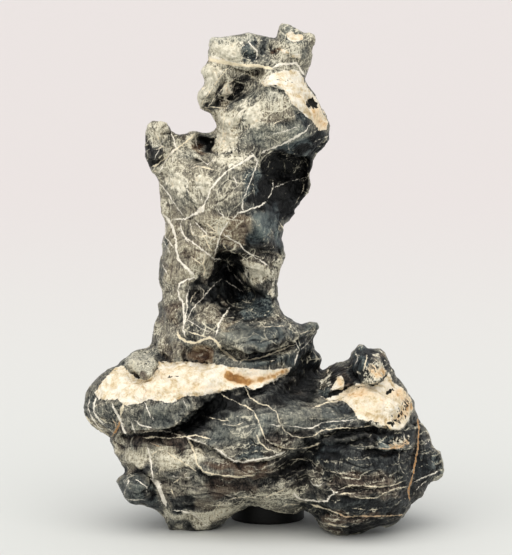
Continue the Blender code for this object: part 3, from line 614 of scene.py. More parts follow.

# Parts of the stone on the front that are paler or darker, bluer or browner than the rest, larger ones first.
# Many dark ones are painted shade in hollows, creases and under overhangs, and a few pale ones are painted
# light.
TONES_AND_PAINTED_SHADE = (
    # head
    Zone(0.70, 0.1, 14, "200,108 206,60 208,36 280,36 312,30 308,78 262,82 236,108"),
    Zone(0.88, 0.2, 7, "206,38 244,36 240,60 226,68 216,88 202,106 195,98 204,64"),
    Zone(0.74, -0.3, 3, "206,36 250,36 249,43 232,46 206,45"),
    Zone(0.54, 0.0, 4, "250,35 278,38 280,62 256,63 248,46"),
    Zone(0.27, -0.7, 3, "249,44 254,48 256,54 254,61 240,62 239,59 244,52"),
    Zone(0.30, -0.3, 3, "260,39 268,40 267,49 259,48"),
    Zone(0.34, 1.0, 3, "273,48 281,47 282,54 274,56"),
    Zone(0.48, -0.4, 5, "280,26 288,24 303,30 303,42 296,46 284,45 279,38"),
    Zone(0.46, -0.1, 4, "304,33 312,35 308,50 303,66 298,64 302,48"),
    Zone(0.62, 0.1, 3, "307,46 311,46 308,74 303,72"),
    Zone(0.58, 0.1, 7, "222,82 238,68 264,70 248,94 238,106 202,110"),
    # painted shade: the dark wedge under the band, and the crease along its left edge
    Zone(0.20, 0.0, 6, "238,76 252,72 257,80 246,88 240,102 230,104 230,90"),
    Zone(0.20, 0.1, 3, "222,86 224,88 216,98 228,102 229,107 203,110 212,96"),
    Zone(1.00, 0.3, 3, "217,96 228,84 232,92 228,101"),
    Zone(0.80, 0.6, 8, "206,110 238,106 240,146 214,150 212,122"),
    Zone(0.76, 0.1, 10, "240,108 258,92 286,96 298,112 262,124 240,132"),
    Zone(0.42, -0.2, 4, "240,112 245,114 244,126 238,122"),
    Zone(0.72, 0.0, 6, "264,84 284,86 292,100 268,98"),
    Zone(0.58, 0.3, 6, "266,108 290,106 298,120 268,124"),
    Zone(0.56, -0.3, 8, "250,122 298,126 312,130 304,142 262,150 244,138", 0.7),
    Zone(0.30, -0.4, 4, "296,110 308,118 306,126 294,120"),
    Zone(0.36, -0.8, 6, "268,150 292,140 312,138 310,158 280,158", 0.5),
    # painted shade under the overhang of the nose
    Zone(0.08, -0.5, 5, "310,132 330,132 326,148 312,156 308,144"),
    Zone(0.10, 0.0, 2, "306,101 312,99 317,105 311,109 305,106"),
    # ear and saddle
    Zone(0.67, 0.0, 8, "146,124 168,118 172,140 190,134 214,132 214,160 160,172 146,156"),
    Zone(0.10, 0.1, 5, "142,134 151,134 153,150 163,151 160,166 148,168 142,150"),
    Zone(0.80, 0.3, 4, "155,122 165,122 163,146 157,146"),
    Zone(0.30, 0.2, 5, "170,132 192,132 188,142 172,144"),
    # painted shade in the hole beside the ear
    Zone(0.06, 0.0, 5, "197,134 213,135 215,150 203,148"),
    Zone(0.42, 0.9, 5, "190,146 204,148 206,156 192,158"),
    # painted shade in the small recess below the ledge
    Zone(0.18, 0.2, 3, "192,158 208,160 208,166 196,165"),
    # upper tower
    Zone(0.62, 0.2, 12, "158,170 186,160 222,160 216,200 200,214 160,208", 0.8),
    Zone(0.84, 0.3, 5, "175,174 184,172 184,194 178,194"),
    Zone(0.84, 0.4, 5, "191,178 204,176 212,184 206,196 194,194"),
    Zone(0.46, 0.0, 3, "186,176 190,176 191,196 187,196"),
    Zone(0.84, 0.3, 5, "160,198 174,202 172,212 163,209"),
    Zone(0.74, 0.3, 8, "214,156 250,152 250,164 224,170"),
    Zone(0.48, 0.0, 10, "220,172 256,162 246,206 212,216 210,200", 0.7),
    Zone(0.36, -0.8, 8, "246,172 262,166 256,200 242,204"),
    # the right side in the shade of the head: dark stone, drawn black as painted shade, deepest in its hollow
    Zone(0.0, -0.1, 8, "262,162 276,152 312,154 312,184 298,214 278,218 252,202"),
    Zone(0.05, 0.1, 6, "272,178 292,176 300,190 284,200 270,196"),
    # middle of the tower
    Zone(0.59, 0.4, 10, "160,208 212,210 226,222 216,262 190,284 160,290 162,240", 0.65),
    Zone(0.64, 0.5, 8, "200,220 226,218 228,236 206,246", 1.2),
    Zone(0.96, 0.5, 5, "213,228 220,226 223,233 217,238", 1.4),
    Zone(0.50, 0.7, 6, "228,216 246,214 248,246 222,248", 0.7),
    Zone(0.46, -0.3, 4, "160,236 167,236 167,252 161,252"),
    Zone(0.46, 0.6, 6, "186,250 202,248 198,264 188,262"),
    Zone(0.66, 0.3, 5, "190,266 206,262 210,276 200,286 188,282"),
    # smooth boss: dark bluish stone with a paler, bluer patch at its upper left as a painted sheen, and
    # painted shade in the crease below
    Zone(0.25, -0.6, 7, "248,208 276,206 284,238 282,252 250,252 246,230", 0.55),
    Zone(0.44, -0.9, 9, "250,212 264,208 274,224 280,240 264,238 252,230", 0.55),
    Zone(0.10, 0.0, 5, "248,242 262,244 282,246 280,254 250,252"),
    Zone(0.62, 0.6, 2, "274,223 281,224 280,229"),
    # hollow, with painted shade in its depth
    Zone(0.11, 0.0, 7, "218,250 246,250 248,264 242,276 260,288 276,300 262,322 246,328 228,316 212,304 "
        "190,306 186,294 206,280 214,262"),
    Zone(0.34, -0.2, 3, "219,284 222,284 231,308 228,310"),
    Zone(0.30, 0.1, 3, "192,292 200,288 203,292 194,300"),
    Zone(0.34, 0.2, 5, "248,254 280,256 282,264 272,292 260,290 246,270"),
    Zone(0.80, 0.5, 4, "245,262 256,263 268,267 273,275 262,282 248,279"),
    Zone(0.68, 0.4, 3, "276,256 283,256 278,280 274,278"),
    Zone(0.36, -0.8, 6, "236,296 272,298 276,314 240,320", 1.4),
    # foot of the tower
    Zone(0.56, 0.2, 10, "160,284 184,282 186,330 160,350 158,320"),
    Zone(0.44, 0.6, 6, "160,306 178,302 182,322 164,324"),
    Zone(0.54, 0.3, 6, "190,306 226,308 222,326 206,324"),
    Zone(0.38, -0.2, 5, "188,322 212,326 212,334 190,330"),
    Zone(0.44, -0.3, 8, "212,326 246,328 256,344 226,346", 0.4),
    Zone(0.55, 0.6, 5, "220,322 234,322 230,332 220,330"),
    Zone(0.30, -0.6, 7, "250,332 286,324 292,336 274,346 250,346", 0.4),
    Zone(0.38, -0.2, 5, "280,318 302,322 300,334 288,330"),
    Zone(0.26, -0.5, 4, "303,320 318,322 316,332 306,336"),
    Zone(0.66, 0.1, 5, "218,344 246,349 242,358 224,356"),
    # painted shade in the crevice under the skirt
    Zone(0.08, 0.0, 3, "244,351 266,347 292,337 292,343 268,352 250,355"),
    Zone(0.26, -0.6, 5, "244,358 270,354 294,350 292,366 256,368", 0.5),
    # painted shade in the hollow right of the skirt
    Zone(0.10, -0.6, 6, "300,340 308,336 320,356 318,372 296,384 292,366 300,352"),
    Zone(0.46, 0.4, 6, "158,344 188,346 188,362 162,356"),
    Zone(0.57, 1.0, 6, "187,354 196,345 207,346 216,354 212,363 190,362", 0.4),
    Zone(0.46, 1.9, 4, "202,353 208,348 215,354 212,363 200,362", 0.4),
    # shoulders and their undersides, with painted shade under the lobe and the slab
    Zone(0.68, -0.1, 6, "122,362 132,350 156,346 158,366 148,378 130,372"),
    # painted shade under the shoulder lobe
    Zone(0.27, 0.5, 3, "130,371 154,372 148,379 134,377"),
    Zone(0.36, -0.3, 6, "84,404 96,384 100,404 120,402 114,432 92,426"),
    Zone(0.63, 0.4, 4, "88,420 112,432 104,438 90,430"),
    Zone(0.51, 0.0, 6, "118,404 150,402 148,424 134,446 118,440"),
    Zone(0.17, 0.0, 3, "140,414 150,414 150,421 139,420"),
    Zone(0.25, 0.3, 3, "122,424 128,426 133,442 124,446"),
    Zone(0.43, -0.3, 6, "150,404 194,398 190,412 168,428 146,428", 0.7),
    # painted shadow in the triangle beside the slab, and painted shade under its lower edge
    Zone(0.03, 0.0, 6, "172,432 195,413 206,399 240,391 264,390 256,403 232,411 208,431"),
    Zone(0.22, 0.4, 5, "134,430 170,430 202,434 176,448 140,446"),
    # belly
    Zone(0.46, -0.3, 12, "208,426 234,408 264,402 268,432 246,446 206,446", 0.65),
    Zone(0.60, 0.0, 6, "198,440 222,444 224,457 206,457", 0.6),
    Zone(0.33, -0.6, 6, "240,446 254,440 266,450 262,460 240,458"),
    Zone(0.78, 0.3, 10, "116,446 150,448 200,452 196,472 130,470", 0.7),
    # painted shade under the folds of the belly
    Zone(0.33, 0.7, 6, "200,464 232,458 272,464 270,478 216,476", 0.6),
    Zone(0.47, 0.2, 8, "160,482 214,478 214,506 168,506", 0.7),
    # painted shade in the recess below them
    Zone(0.29, 0.5, 6, "204,480 262,480 256,492 212,496", 0.7),
    Zone(0.19, -0.2, 5, "174,496 190,494 192,508 178,510"),
    Zone(0.28, -0.5, 5, "116,482 130,470 158,484 156,508 130,507"),
    # painted shade in the groove round the nodule
    Zone(0.10, 0.0, 3, "130,471 142,471 151,479 140,480"),
    Zone(0.17, 0.0, 3, "144,488 158,490 154,500 144,498"),
    Zone(0.92, 0.3, 6, "162,508 206,512 244,502 232,520 196,528 166,520"),
    # painted shade where the left foot meets the ground
    Zone(0.10, 0.1, 3, "166,525 184,530 210,529 236,523 236,540 166,540"),
    # the rim between the feet, drawn pale so that it looks lit in the shade under the belly: painted light
    Zone(0.66, 0.0, 7, "232,502 262,493 302,486 300,504 262,513 240,509", 1.3),
    Zone(0.45, -0.2, 8, "262,406 296,404 322,402 322,424 268,428", 0.6),
    # painted shade in the recess below the right end of the skirt
    Zone(0.17, 0.0, 7, "262,392 294,368 320,376 318,396 292,404 264,402"),
    Zone(0.23, 0.3, 6, "262,434 312,428 322,444 268,446"),
    # painted shade under a fold, and in the deep recess by the right foot
    Zone(0.26, 0.0, 5, "262,452 290,448 286,462 264,464"),
    Zone(0.12, 0.1, 7, "262,472 288,458 310,446 312,462 300,482 270,480"),
    # right block, knob and spur
    Zone(0.18, -0.25, 12, "306,440 330,424 400,430 420,420 444,470 404,514 350,534 306,520"),
    Zone(0.32, -0.5, 6, "322,404 350,406 354,424 324,426", 0.5),
    # painted shade in the groove under the ledge
    Zone(0.08, 0.0, 6, "322,430 370,428 404,432 400,438 372,440 322,444"),
    Zone(0.40, -0.7, 4, "377,434 392,436 394,448 378,446"),
    Zone(0.08, -0.4, 5, "310,446 342,446 336,462 314,464"),
    # painted shade in the groove below the niche
    Zone(0.10, 0.0, 3, "366,436 374,436 374,449 410,452 404,458 366,452"),
    Zone(0.30, 0.4, 8, "336,472 396,474 404,494 352,500 330,496"),
    Zone(0.36, 0.1, 6, "304,474 322,462 326,500 304,500"),
    Zone(0.12, 0.0, 3, "322,486 330,484 330,496 322,496"),
    Zone(0.16, -0.3, 5, "336,500 376,504 372,512 338,512"),
    Zone(0.26, 0.5, 5, "318,516 350,512 392,516 372,524 330,530"),
    # painted shade along the underside of the right foot
    Zone(0.10, 0.0, 4, "348,528 384,522 402,508 404,518 380,534 350,540"),
    Zone(0.14, -0.4, 6, "420,440 430,440 444,468 430,480 418,470"),
    Zone(0.42, -0.8, 3, "434,462 441,462 445,470 438,474"),
    Zone(0.18, 0.2, 4, "414,482 428,480 424,498 412,498"),
    Zone(0.10, -0.3, 5, "352,352 364,344 384,350 392,366 386,384 350,386"),
    Zone(0.24, -0.9, 4, "354,352 364,350 364,368 354,372"),
    Zone(0.34, 0.5, 3, "374,352 382,352 386,362 378,363"),
    Zone(0.02, 0.0, 3, "386,356 391,366 390,374 384,370"),
    Zone(0.12, 0.4, 5, "320,372 350,364 350,388 326,396"),
    Zone(0.34, -0.7, 3, "322,390 332,390 331,398 323,398"),
)

# Iron stain, over stone and calcite alike.
STAINS = (
    Wash(6, 1.05, "228,375 232,378 240,380"),
    Wash(10, 0.7, "229,377 244,381"),
    Wash(6, 0.85, "248,383 264,379 286,371"),
    Wash(12, 0.25, "222,372 244,376 262,374"),
    Wash(7, 0.3, "150,392 172,390 196,389"),
    Wash(6, 0.3, "112,388 104,394"),
    Wash(6, 0.3, "198,388 222,387"),
    Wash(5, 0.35, "150,366 162,374 172,371"),
    Wash(14, 0.55, "316,112 322,124"),
    Wash(8, 0.5, "196,353 208,359"),
    Wash(7, 0.6, "274,52 278,48"),
    Wash(12, 0.4, "362,408 380,418"),
    Wash(9, 0.6, "402,392 411,404"),
    Wash(14, 0.35, "380,404 394,396"),
    Wash(12, 0.3, "350,396 366,396"),
    Wash(9, 0.8, "374,370 382,372"),
    Wash(6, 0.9, "390,446 398,448 404,445 408,441"),
    Wash(5, 0.8, "338,379 341,384"),
    Wash(6, 0.4, "300,36 302,39"),
    Wash(9, 0.6, "396,420 408,410"),
    Wash(12, 0.3, "340,396 360,392 378,396"),
    Wash(7, 0.45, "196,152 206,154"),
    Wash(6, 0.4, "244,390 250,398"),
    Wash(12, 0.25, "340,472 380,474"),
    Wash(10, 0.25, "330,520 345,528"),
    Wash(14, 0.2, "216,468 250,468"),
)

# Dark specks and pits in the calcite.
SPECKS = (
    Wash(11, 1.35, "393,421 401,413 406,402"),
    Wash(3, 1.0, "376,421 384,423 392,424"),
    Wash(3, 1.2, "367,374 369,376"),
    Wash(4, 0.7, "388,394 392,391"),
    Wash(7, 2.8, "309,104 311,101 314,105"),
    Wash(3, 1.1, "273,79 284,80 293,83"),
    Wash(3, 0.9, "276,75 290,74"),
    Wash(5, 1.3, "387,393 391,391"),
    Wash(4, 1.0, "372,374 370,380 384,366"),
    Wash(4, 1.2, "164,379 170,377 178,376"),
    Wash(6, 0.5, "376,356 386,362"),
    Wash(6, 0.6, "400,424 412,416"),
    Wash(12, 0.5, "284,56 300,52"),
    Wash(14, 0.5, "270,112 286,118"),
    Wash(8, 0.6, "158,140 162,154"),
)


# The back is drawn on the same sketch, seen through the rock.
BACK_VEINS = (
    Vein(3.0, CREAM, "206,66 226,62 246,70 268,66 290,74 312,70"),
    Vein(2.4, WHITE, "206,108 228,112 244,128 258,150 276,160 308,158"),
    Vein(1.6, WHITE, "284,40 280,70 288,100 276,130 262,152"),
    Vein(2.4, WHITE, "158,184 180,200 194,222 214,236 232,262 240,292 236,322 228,346 212,366 206,392 "
        "190,420 184,452 170,486"),
    Vein(1.8, CREAM, "308,178 284,190 262,206 238,214 214,236"),
    Vein(1.4, WHITE, "176,140 196,160 222,172 250,174"),
    Vein(1.6, WHITE, "278,240 256,246 236,262 212,270 186,288 168,300"),
    Vein(1.3, WHITE, "194,222 184,246 180,272"),
    Vein(2.8, PEACH, "160,322 184,334 214,338 244,332 272,342 304,338"),
    Vein(2.4, WHITE, "96,424 128,428 160,424 194,436 230,440 262,452"),
    Vein(3.0, RUST, "346,364 338,392 344,424 332,456 336,490 328,520"),
    Vein(1.8, CREAM, "262,404 290,414 322,410 356,416 392,410"),
    Vein(1.6, WHITE, "250,452 284,462 318,458 352,466 390,460 426,466"),
    Vein(1.4, CREAM, "232,486 262,480 296,488 332,486 372,494"),
    Vein(1.4, WHITE, "118,462 148,470 172,466 206,478"),
    Vein(1.2, WHITE, "140,380 150,404 146,430"),
    Vein(1.2, CREAM, "262,360 276,384 270,410 282,440"),
    Vein(1.2, WHITE, "378,370 386,400 380,436"),
    Vein(1.4, WHITE, "150,136 164,156 168,182 176,206"),
    Vein(1.6, CREAM, "296,196 270,226 250,246 240,276 246,304"),
    Vein(1.3, WHITE, "166,262 190,268 208,286 230,292 262,288"),
    Vein(1.3, WHITE, "206,88 232,86 262,92 296,88"),
    Vein(1.4, CREAM, "110,398 146,396 176,404 214,400"),
    Vein(1.4, WHITE, "126,446 162,450 206,456 240,470 280,474"),
    Vein(1.5, WHITE, "300,430 334,436 372,430 410,438"),
    Vein(1.3, WHITE, "322,384 352,392 384,388"),
    Vein(1.3, CREAM, "294,506 330,504 372,512"),
)
BACK_CREAM_PATCHES = (
    "204,364 220,357 236,355 250,350 268,353 288,351 304,358 322,362 340,371 356,374 344,382 326,385 "
    "322,395 306,400 292,394 274,397 258,389 242,391 230,381 214,376",
    "94,396 103,386 114,382 122,374 136,376 150,370 164,376 186,377 174,386 158,387 148,397 134,393 "
    "122,402 108,399",
    "208,99 219,92 231,95 239,87 250,94 261,103 250,108 245,118 234,113 222,117 215,109",
    "230,193 244,190 256,197 270,203 262,211 255,206 249,215 243,206 236,204",
)
BACK_TAN_PATCHES = (
    "172,250 192,246 204,268 196,296 176,290",
    "268,70 296,66 306,86 290,102 270,94",
    "352,420 378,416 396,436 376,450 354,444",
)
BACK_ZONES = (
    # the whole, head to foot
    Zone(0.38, 0.0, 12, "90,10 440,10 460,560 70,560"),
    Zone(0.48, 0.3, 12, "206,40 252,38 250,84 244,120 214,118 200,96"),
    Zone(0.62, 0.1, 8, "206,44 236,42 232,66 212,72"),
    Zone(0.20, -0.5, 8, "270,44 306,40 306,90 318,140 290,156 276,110"),
    Zone(0.44, -0.4, 8, "284,100 306,96 314,128 292,134"),
    Zone(0.12, 0.0, 6, "222,116 262,120 258,134 226,132"),
    Zone(0.50, 0.2, 12, "160,150 206,160 232,190 212,214 170,206"),
    Zone(0.14, 0.2, 8, "148,132 168,140 186,160 170,170 150,158"),
    Zone(0.10, -0.3, 10, "252,172 296,176 288,220 276,268 256,262 248,214"),
    Zone(0.14, 0.0, 8, "204,232 232,238 228,270 208,266"),
    Zone(0.46, 0.4, 10, "164,250 202,256 196,318 164,326"),
    Zone(0.24, 0.6, 7, "160,214 190,220 186,246 162,244"),
    Zone(0.22, -0.7, 8, "238,286 270,290 268,326 240,322"),
    Zone(0.40, 0.6, 8, "206,280 232,284 226,318 208,312"),
    Zone(0.16, 0.2, 8, "160,330 204,326 236,336 228,350 172,352"),
    Zone(0.48, 0.0, 12, "112,380 160,366 222,362 270,350 262,376 150,396"),
    Zone(0.14, 0.1, 9, "196,392 262,398 284,412 230,418 200,410"),
    Zone(0.22, 0.7, 8, "150,404 190,408 206,424 164,430"),
    Zone(0.52, -0.2, 12, "144,430 232,436 306,436 292,460 180,458"),
    Zone(0.18, 0.2, 10, "330,424 400,440 402,480 352,504 330,470"),
    Zone(0.16, -0.6, 10, "296,452 330,450 334,496 300,500"),
    Zone(0.12, 0.0, 8, "206,472 280,474 270,500 214,498"),
    Zone(0.44, 0.3, 8, "130,464 196,470 190,490 138,486"),
    Zone(0.24, -0.4, 8, "96,402 130,402 142,446 112,440"),
    Zone(0.24, -0.8, 8, "340,352 384,352 392,380 350,392"),
    Zone(0.40, 0.2, 6, "366,392 404,398 412,416 372,414"),
    Zone(0.44, 0.5, 8, "166,500 206,504 204,526 168,524"),
)
BACK_STAINS = (
    Wash(10, 0.7, "262,372 286,384"),
    Wash(8, 0.6, "128,384 144,390"),
    Wash(14, 0.4, "332,456 338,488"),
    Wash(12, 0.4, "230,104 246,106"),
)
BACK_SPECKS = (
    Wash(8, 0.8, "300,386 314,392"),
    Wash(6, 0.6, "238,364 246,370"),
)


@dataclass(frozen=True)
class Sight:
    """The eye that the sketch is drawn for, in the sketch's own frame, where the stone's depth starts at Y 0.

    Args:
        square: the side of one square, in metres, in the plane that the eye is aimed at.
        distance: from the eye to the point it is aimed at.
        elevation: how far the eye looks down, in radians.
        centre: the sketch point that the eye is aimed at.
        height: how high above the ground that point is.
        place: where the sketch's own frame starts, in the part's frame.
    """

    square: float = 0.0008
    distance: float = 2.6
    elevation: float = math.radians(7.0)
    centre: Point = (256.0, 277.5)
    height: float = 0.2042
    place: tuple[float, float, float] = (-0.00653, -0.02151, 0.0)

    def axes(self) -> tuple[Array, Array, Array]:
        """The eye's right, forward and up directions."""
        cos, sin = math.cos(self.elevation), math.sin(self.elevation)
        return np.array([1.0, 0, 0]), np.array([0, cos, -sin]), np.array([0, sin, cos])

    def eye(self) -> Array:
        """Where the eye is."""
        return np.array([0, 0, self.height]) - self.distance * self.axes()[1]

    def to_sketch(self, points: Array) -> Array:
        """Perspective: each offset across the sight, divided by its distance ahead, in squares.

        Args:
            points: n by 3 places in space.
        Returns:
            n by 2 sketch coordinates.
        """
        right, forward, up = self.axes()
        away = points - self.eye()
        scale = self.distance / (away @ forward) / self.square
        return np.array(self.centre) + np.stack([away @ right * scale, -(away @ up) * scale], axis=1)

    def from_sketch(self, sketch: Array, depth: Array) -> Array:
        """The sight line of each sketch point, followed until it reaches its depth.

        Args:
            sketch: n by 2 sketch coordinates.
            depth: n depths along Y, in metres.
        Returns:
            n by 3 places in space.
        """
        right, forward, up = self.axes()
        across = (np.asarray(sketch, float) - self.centre) * self.square / self.distance
        line = forward + across[:, :1] * right - across[:, 1:] * up
        return self.eye() + line * ((depth - self.eye()[1]) / line[:, 1])[:, None]


@lru_cache(maxsize=None)
def places(line: Line) -> Array:
    """A line's places as an array with a row for each."""
    return np.array([place.split(",") for place in line.split()], float)


def ease(x: Array) -> Array:
    """0 below 0, 1 above 1, and 3x² - 2x³ between."""
    x = np.clip(x, 0, 1)
    return x * x * (3 - 2 * x)


@dataclass(frozen=True)
class LineReading:
    """How points lie to a line: their distance, their signed offset and how far along it they are."""

    gap: Array
    offset: Array
    along: Array
    length: float

    def to_end(self) -> Array:
        """How far the nearer end of the line is from each foot."""
        return np.minimum(self.along, self.length - self.along)


def read_line(points: Array, corners: Array) -> LineReading:
    """For each stretch of the line, the foot of the perpendicular held within it, and the nearest kept.

    Args:
        points: n by 2 sketch coordinates.
        corners: the line's places.
    Returns:
        The reading, with offsets greater than 0 below a line that is drawn to the right.
    """
    gap = np.full(len(points), np.inf)
    offset, along = np.zeros(len(points)), np.zeros(len(points))
    length = 0.0
    for start, end in zip(corners[:-1], corners[1:]):
        step = end - start
        size = math.hypot(*step)
        away = points - start
        share = np.clip(away @ step / size**2, 0, 1)
        here = np.hypot(*(away - share[:, None] * step).T)
        nearer = here < gap
        gap[nearer] = here[nearer]
        offset[nearer] = ((step[0] * away[:, 1] - step[1] * away[:, 0]) / size)[nearer]
        along[nearer] = (length + share * size)[nearer]
        length += size
    return LineReading(gap, offset, along, length)


def inside_distance(points: Array, corners: Array) -> Array:
    """Distance to a closed outline, greater than 0 inside it, by counting the edges that a ray crosses.

    Args:
        points: n by 2 sketch coordinates.
        corners: the outline's places.
    Returns:
        n signed distances in squares.
    """
    following = np.roll(corners, -1, axis=0)
    gap = read_line(points, np.vstack([corners, corners[:1]])).gap
    inside = np.zeros(len(points), bool)
    x, y = points.T
    for (x0, y0), (x1, y1) in zip(corners, following):
        if y0 != y1:
            inside ^= ((y0 > y) != (y1 > y)) & (x < (x1 - x0) * (y - y0) / (y1 - y0) + x0)
    return np.where(inside, gap, -gap)


def near_line(points: Array, line: Line, reach: float) -> Array:
    """The indices of the points that lie in a line's box, widened by a reach."""
    corners = places(line)
    low, high = corners.min(axis=0) - reach, corners.max(axis=0) + reach
    return np.flatnonzero(((points > low) & (points < high)).all(axis=1))


def random_field(points: Array, size: float, seed: int, flatness: float = 1.0) -> Array:
    """A sum of 24 cosine waves in random directions, of spread 1, whose lumps are about a size wide.

    Args:
        points: n by 3 places.
        size: width of a lump, in the points' unit.
        seed: fixes the directions.
        flatness: how many times flatter than wide the lumps are.
    Returns:
        n heights.
    """
    waves = 24
    dice = np.random.default_rng(seed)
    headings = dice.normal(size=(waves, 3))
    headings *= (dice.uniform(0.7, 1.3, waves) / np.linalg.norm(headings, axis=1))[:, None]
    headings[:, 2] *= flatness
    phases = dice.uniform(0, 2 * math.pi, waves)
    return np.cos(points @ headings.T * math.pi / size + phases).sum(axis=1) / math.sqrt(waves / 2)


def spline_sheet(sites: Array, values: Array, points: Array) -> Array:
    """A thin plate bent through the values: a plane plus r² log r about each site, with a little slack.

    Args:
        sites: m by 2 sounded places.
        values: m soundings.
        points: n by 2 places to read.
    Returns:
        n readings.
    """

    def bend(square_gap: Array) -> Array:
        """r² log r, from r²."""
        return 0.5 * square_gap * np.log(np.maximum(square_gap, 1e-12))

    def flat(at: Array) -> Array:
        """The terms of a plane."""
        return np.column_stack([np.ones(len(at)), at])

    slack = 60.0
    system = np.zeros((len(sites) + 3,) * 2)
    system[:-3, :-3] = bend(((sites[:, None] - sites[None]) ** 2).sum(axis=2)) + slack * np.eye(len(sites))
    system[:-3, -3:] = flat(sites)
    system[-3:, :-3] = flat(sites).T
    weights = np.linalg.solve(system, np.concatenate([values, np.zeros(3)]))
    reading = flat(points) @ weights[-3:]
    for site, weight in zip(sites, weights):
        reading += weight * bend(((points - site) ** 2).sum(axis=1))
    return reading


def add_object(name: str, data: bpy.types.ID) -> Thing:
    """An object of the scene that shows a mesh, or a lamp or camera."""
    thing = bpy.data.objects.new(name, data)
    bpy.context.scene.collection.objects.link(thing)
    return thing


def settle(thing: Thing) -> None:
    """Applies an object's modifiers to its mesh.

    Args:
        thing: the object, which is left with no modifier.
    """
    made = bpy.data.meshes.new_from_object(thing.evaluated_get(bpy.context.evaluated_depsgraph_get()))
    old = thing.data
    thing.modifiers.clear()
    thing.data = made
    bpy.data.meshes.remove(old)


def read_points(thing: Thing) -> Array:
    """An object's vertices as an n by 3 array."""
    flat = np.empty(len(thing.data.vertices) * 3)
    thing.data.vertices.foreach_get("co", flat)
    return flat.reshape(-1, 3)


def read_normals(thing: Thing) -> Array:
    """An object's vertex normals as an n by 3 array."""
    flat = np.empty(len(thing.data.vertices) * 3)
    thing.data.vertex_normals.foreach_get("vector", flat)
    return flat.reshape(-1, 3)


def write_points(thing: Thing, points: Array) -> None:
    """Puts an array back as an object's vertices."""
    thing.data.vertices.foreach_set("co", points.ravel())
    thing.data.update()


def raise_to(thing: Thing, floor: Array | float) -> None:
    """Lifts an object's vertices that lie below a floor up to it."""
    points = read_points(thing)
    points[:, 2] = np.maximum(points[:, 2], floor)
    write_points(thing, points)


def count_triangles(thing: Thing) -> int:
    """How many triangles an object's faces come to."""
    sides = np.empty(len(thing.data.polygons), int)
    thing.data.polygons.foreach_get("loop_total", sides)
    return int((sides - 2).sum())


def write_attribute(thing: Thing, name: str, *columns: Array) -> None:
    """Keeps up to three numbers for each vertex as a vector attribute.

    Args:
        thing: the object.
        name: the attribute's name.
        columns: each number, for all vertices.
    """
    values = np.zeros((len(thing.data.vertices), 3))
    for i, column in enumerate(columns):
        values[:, i] = column
    attribute = thing.data.attributes.new(name, "FLOAT_VECTOR", "POINT")
    attribute.data.foreach_set("vector", values.ravel())


@dataclass(frozen=True)
class Block:
    """The size of the small round block and where its foot stands, in metres."""

    centre: Point = (0.0095, 0.044)
    radius: float = 0.030
    height: float = 0.024
    edge: float = 0.0015


@dataclass(frozen=True)
class Foot:
    """An oval patch of the underside that reaches the ground: its centre and its half width and depth."""

    centre: Point
    half: Point


@dataclass(frozen=True)
class Crease:
    """Grooves where a random field changes sign, (1 - |field| / width)², with depth and size in metres."""

    depth: float
    size: float
    width: float
    flatness: float
    seed: int


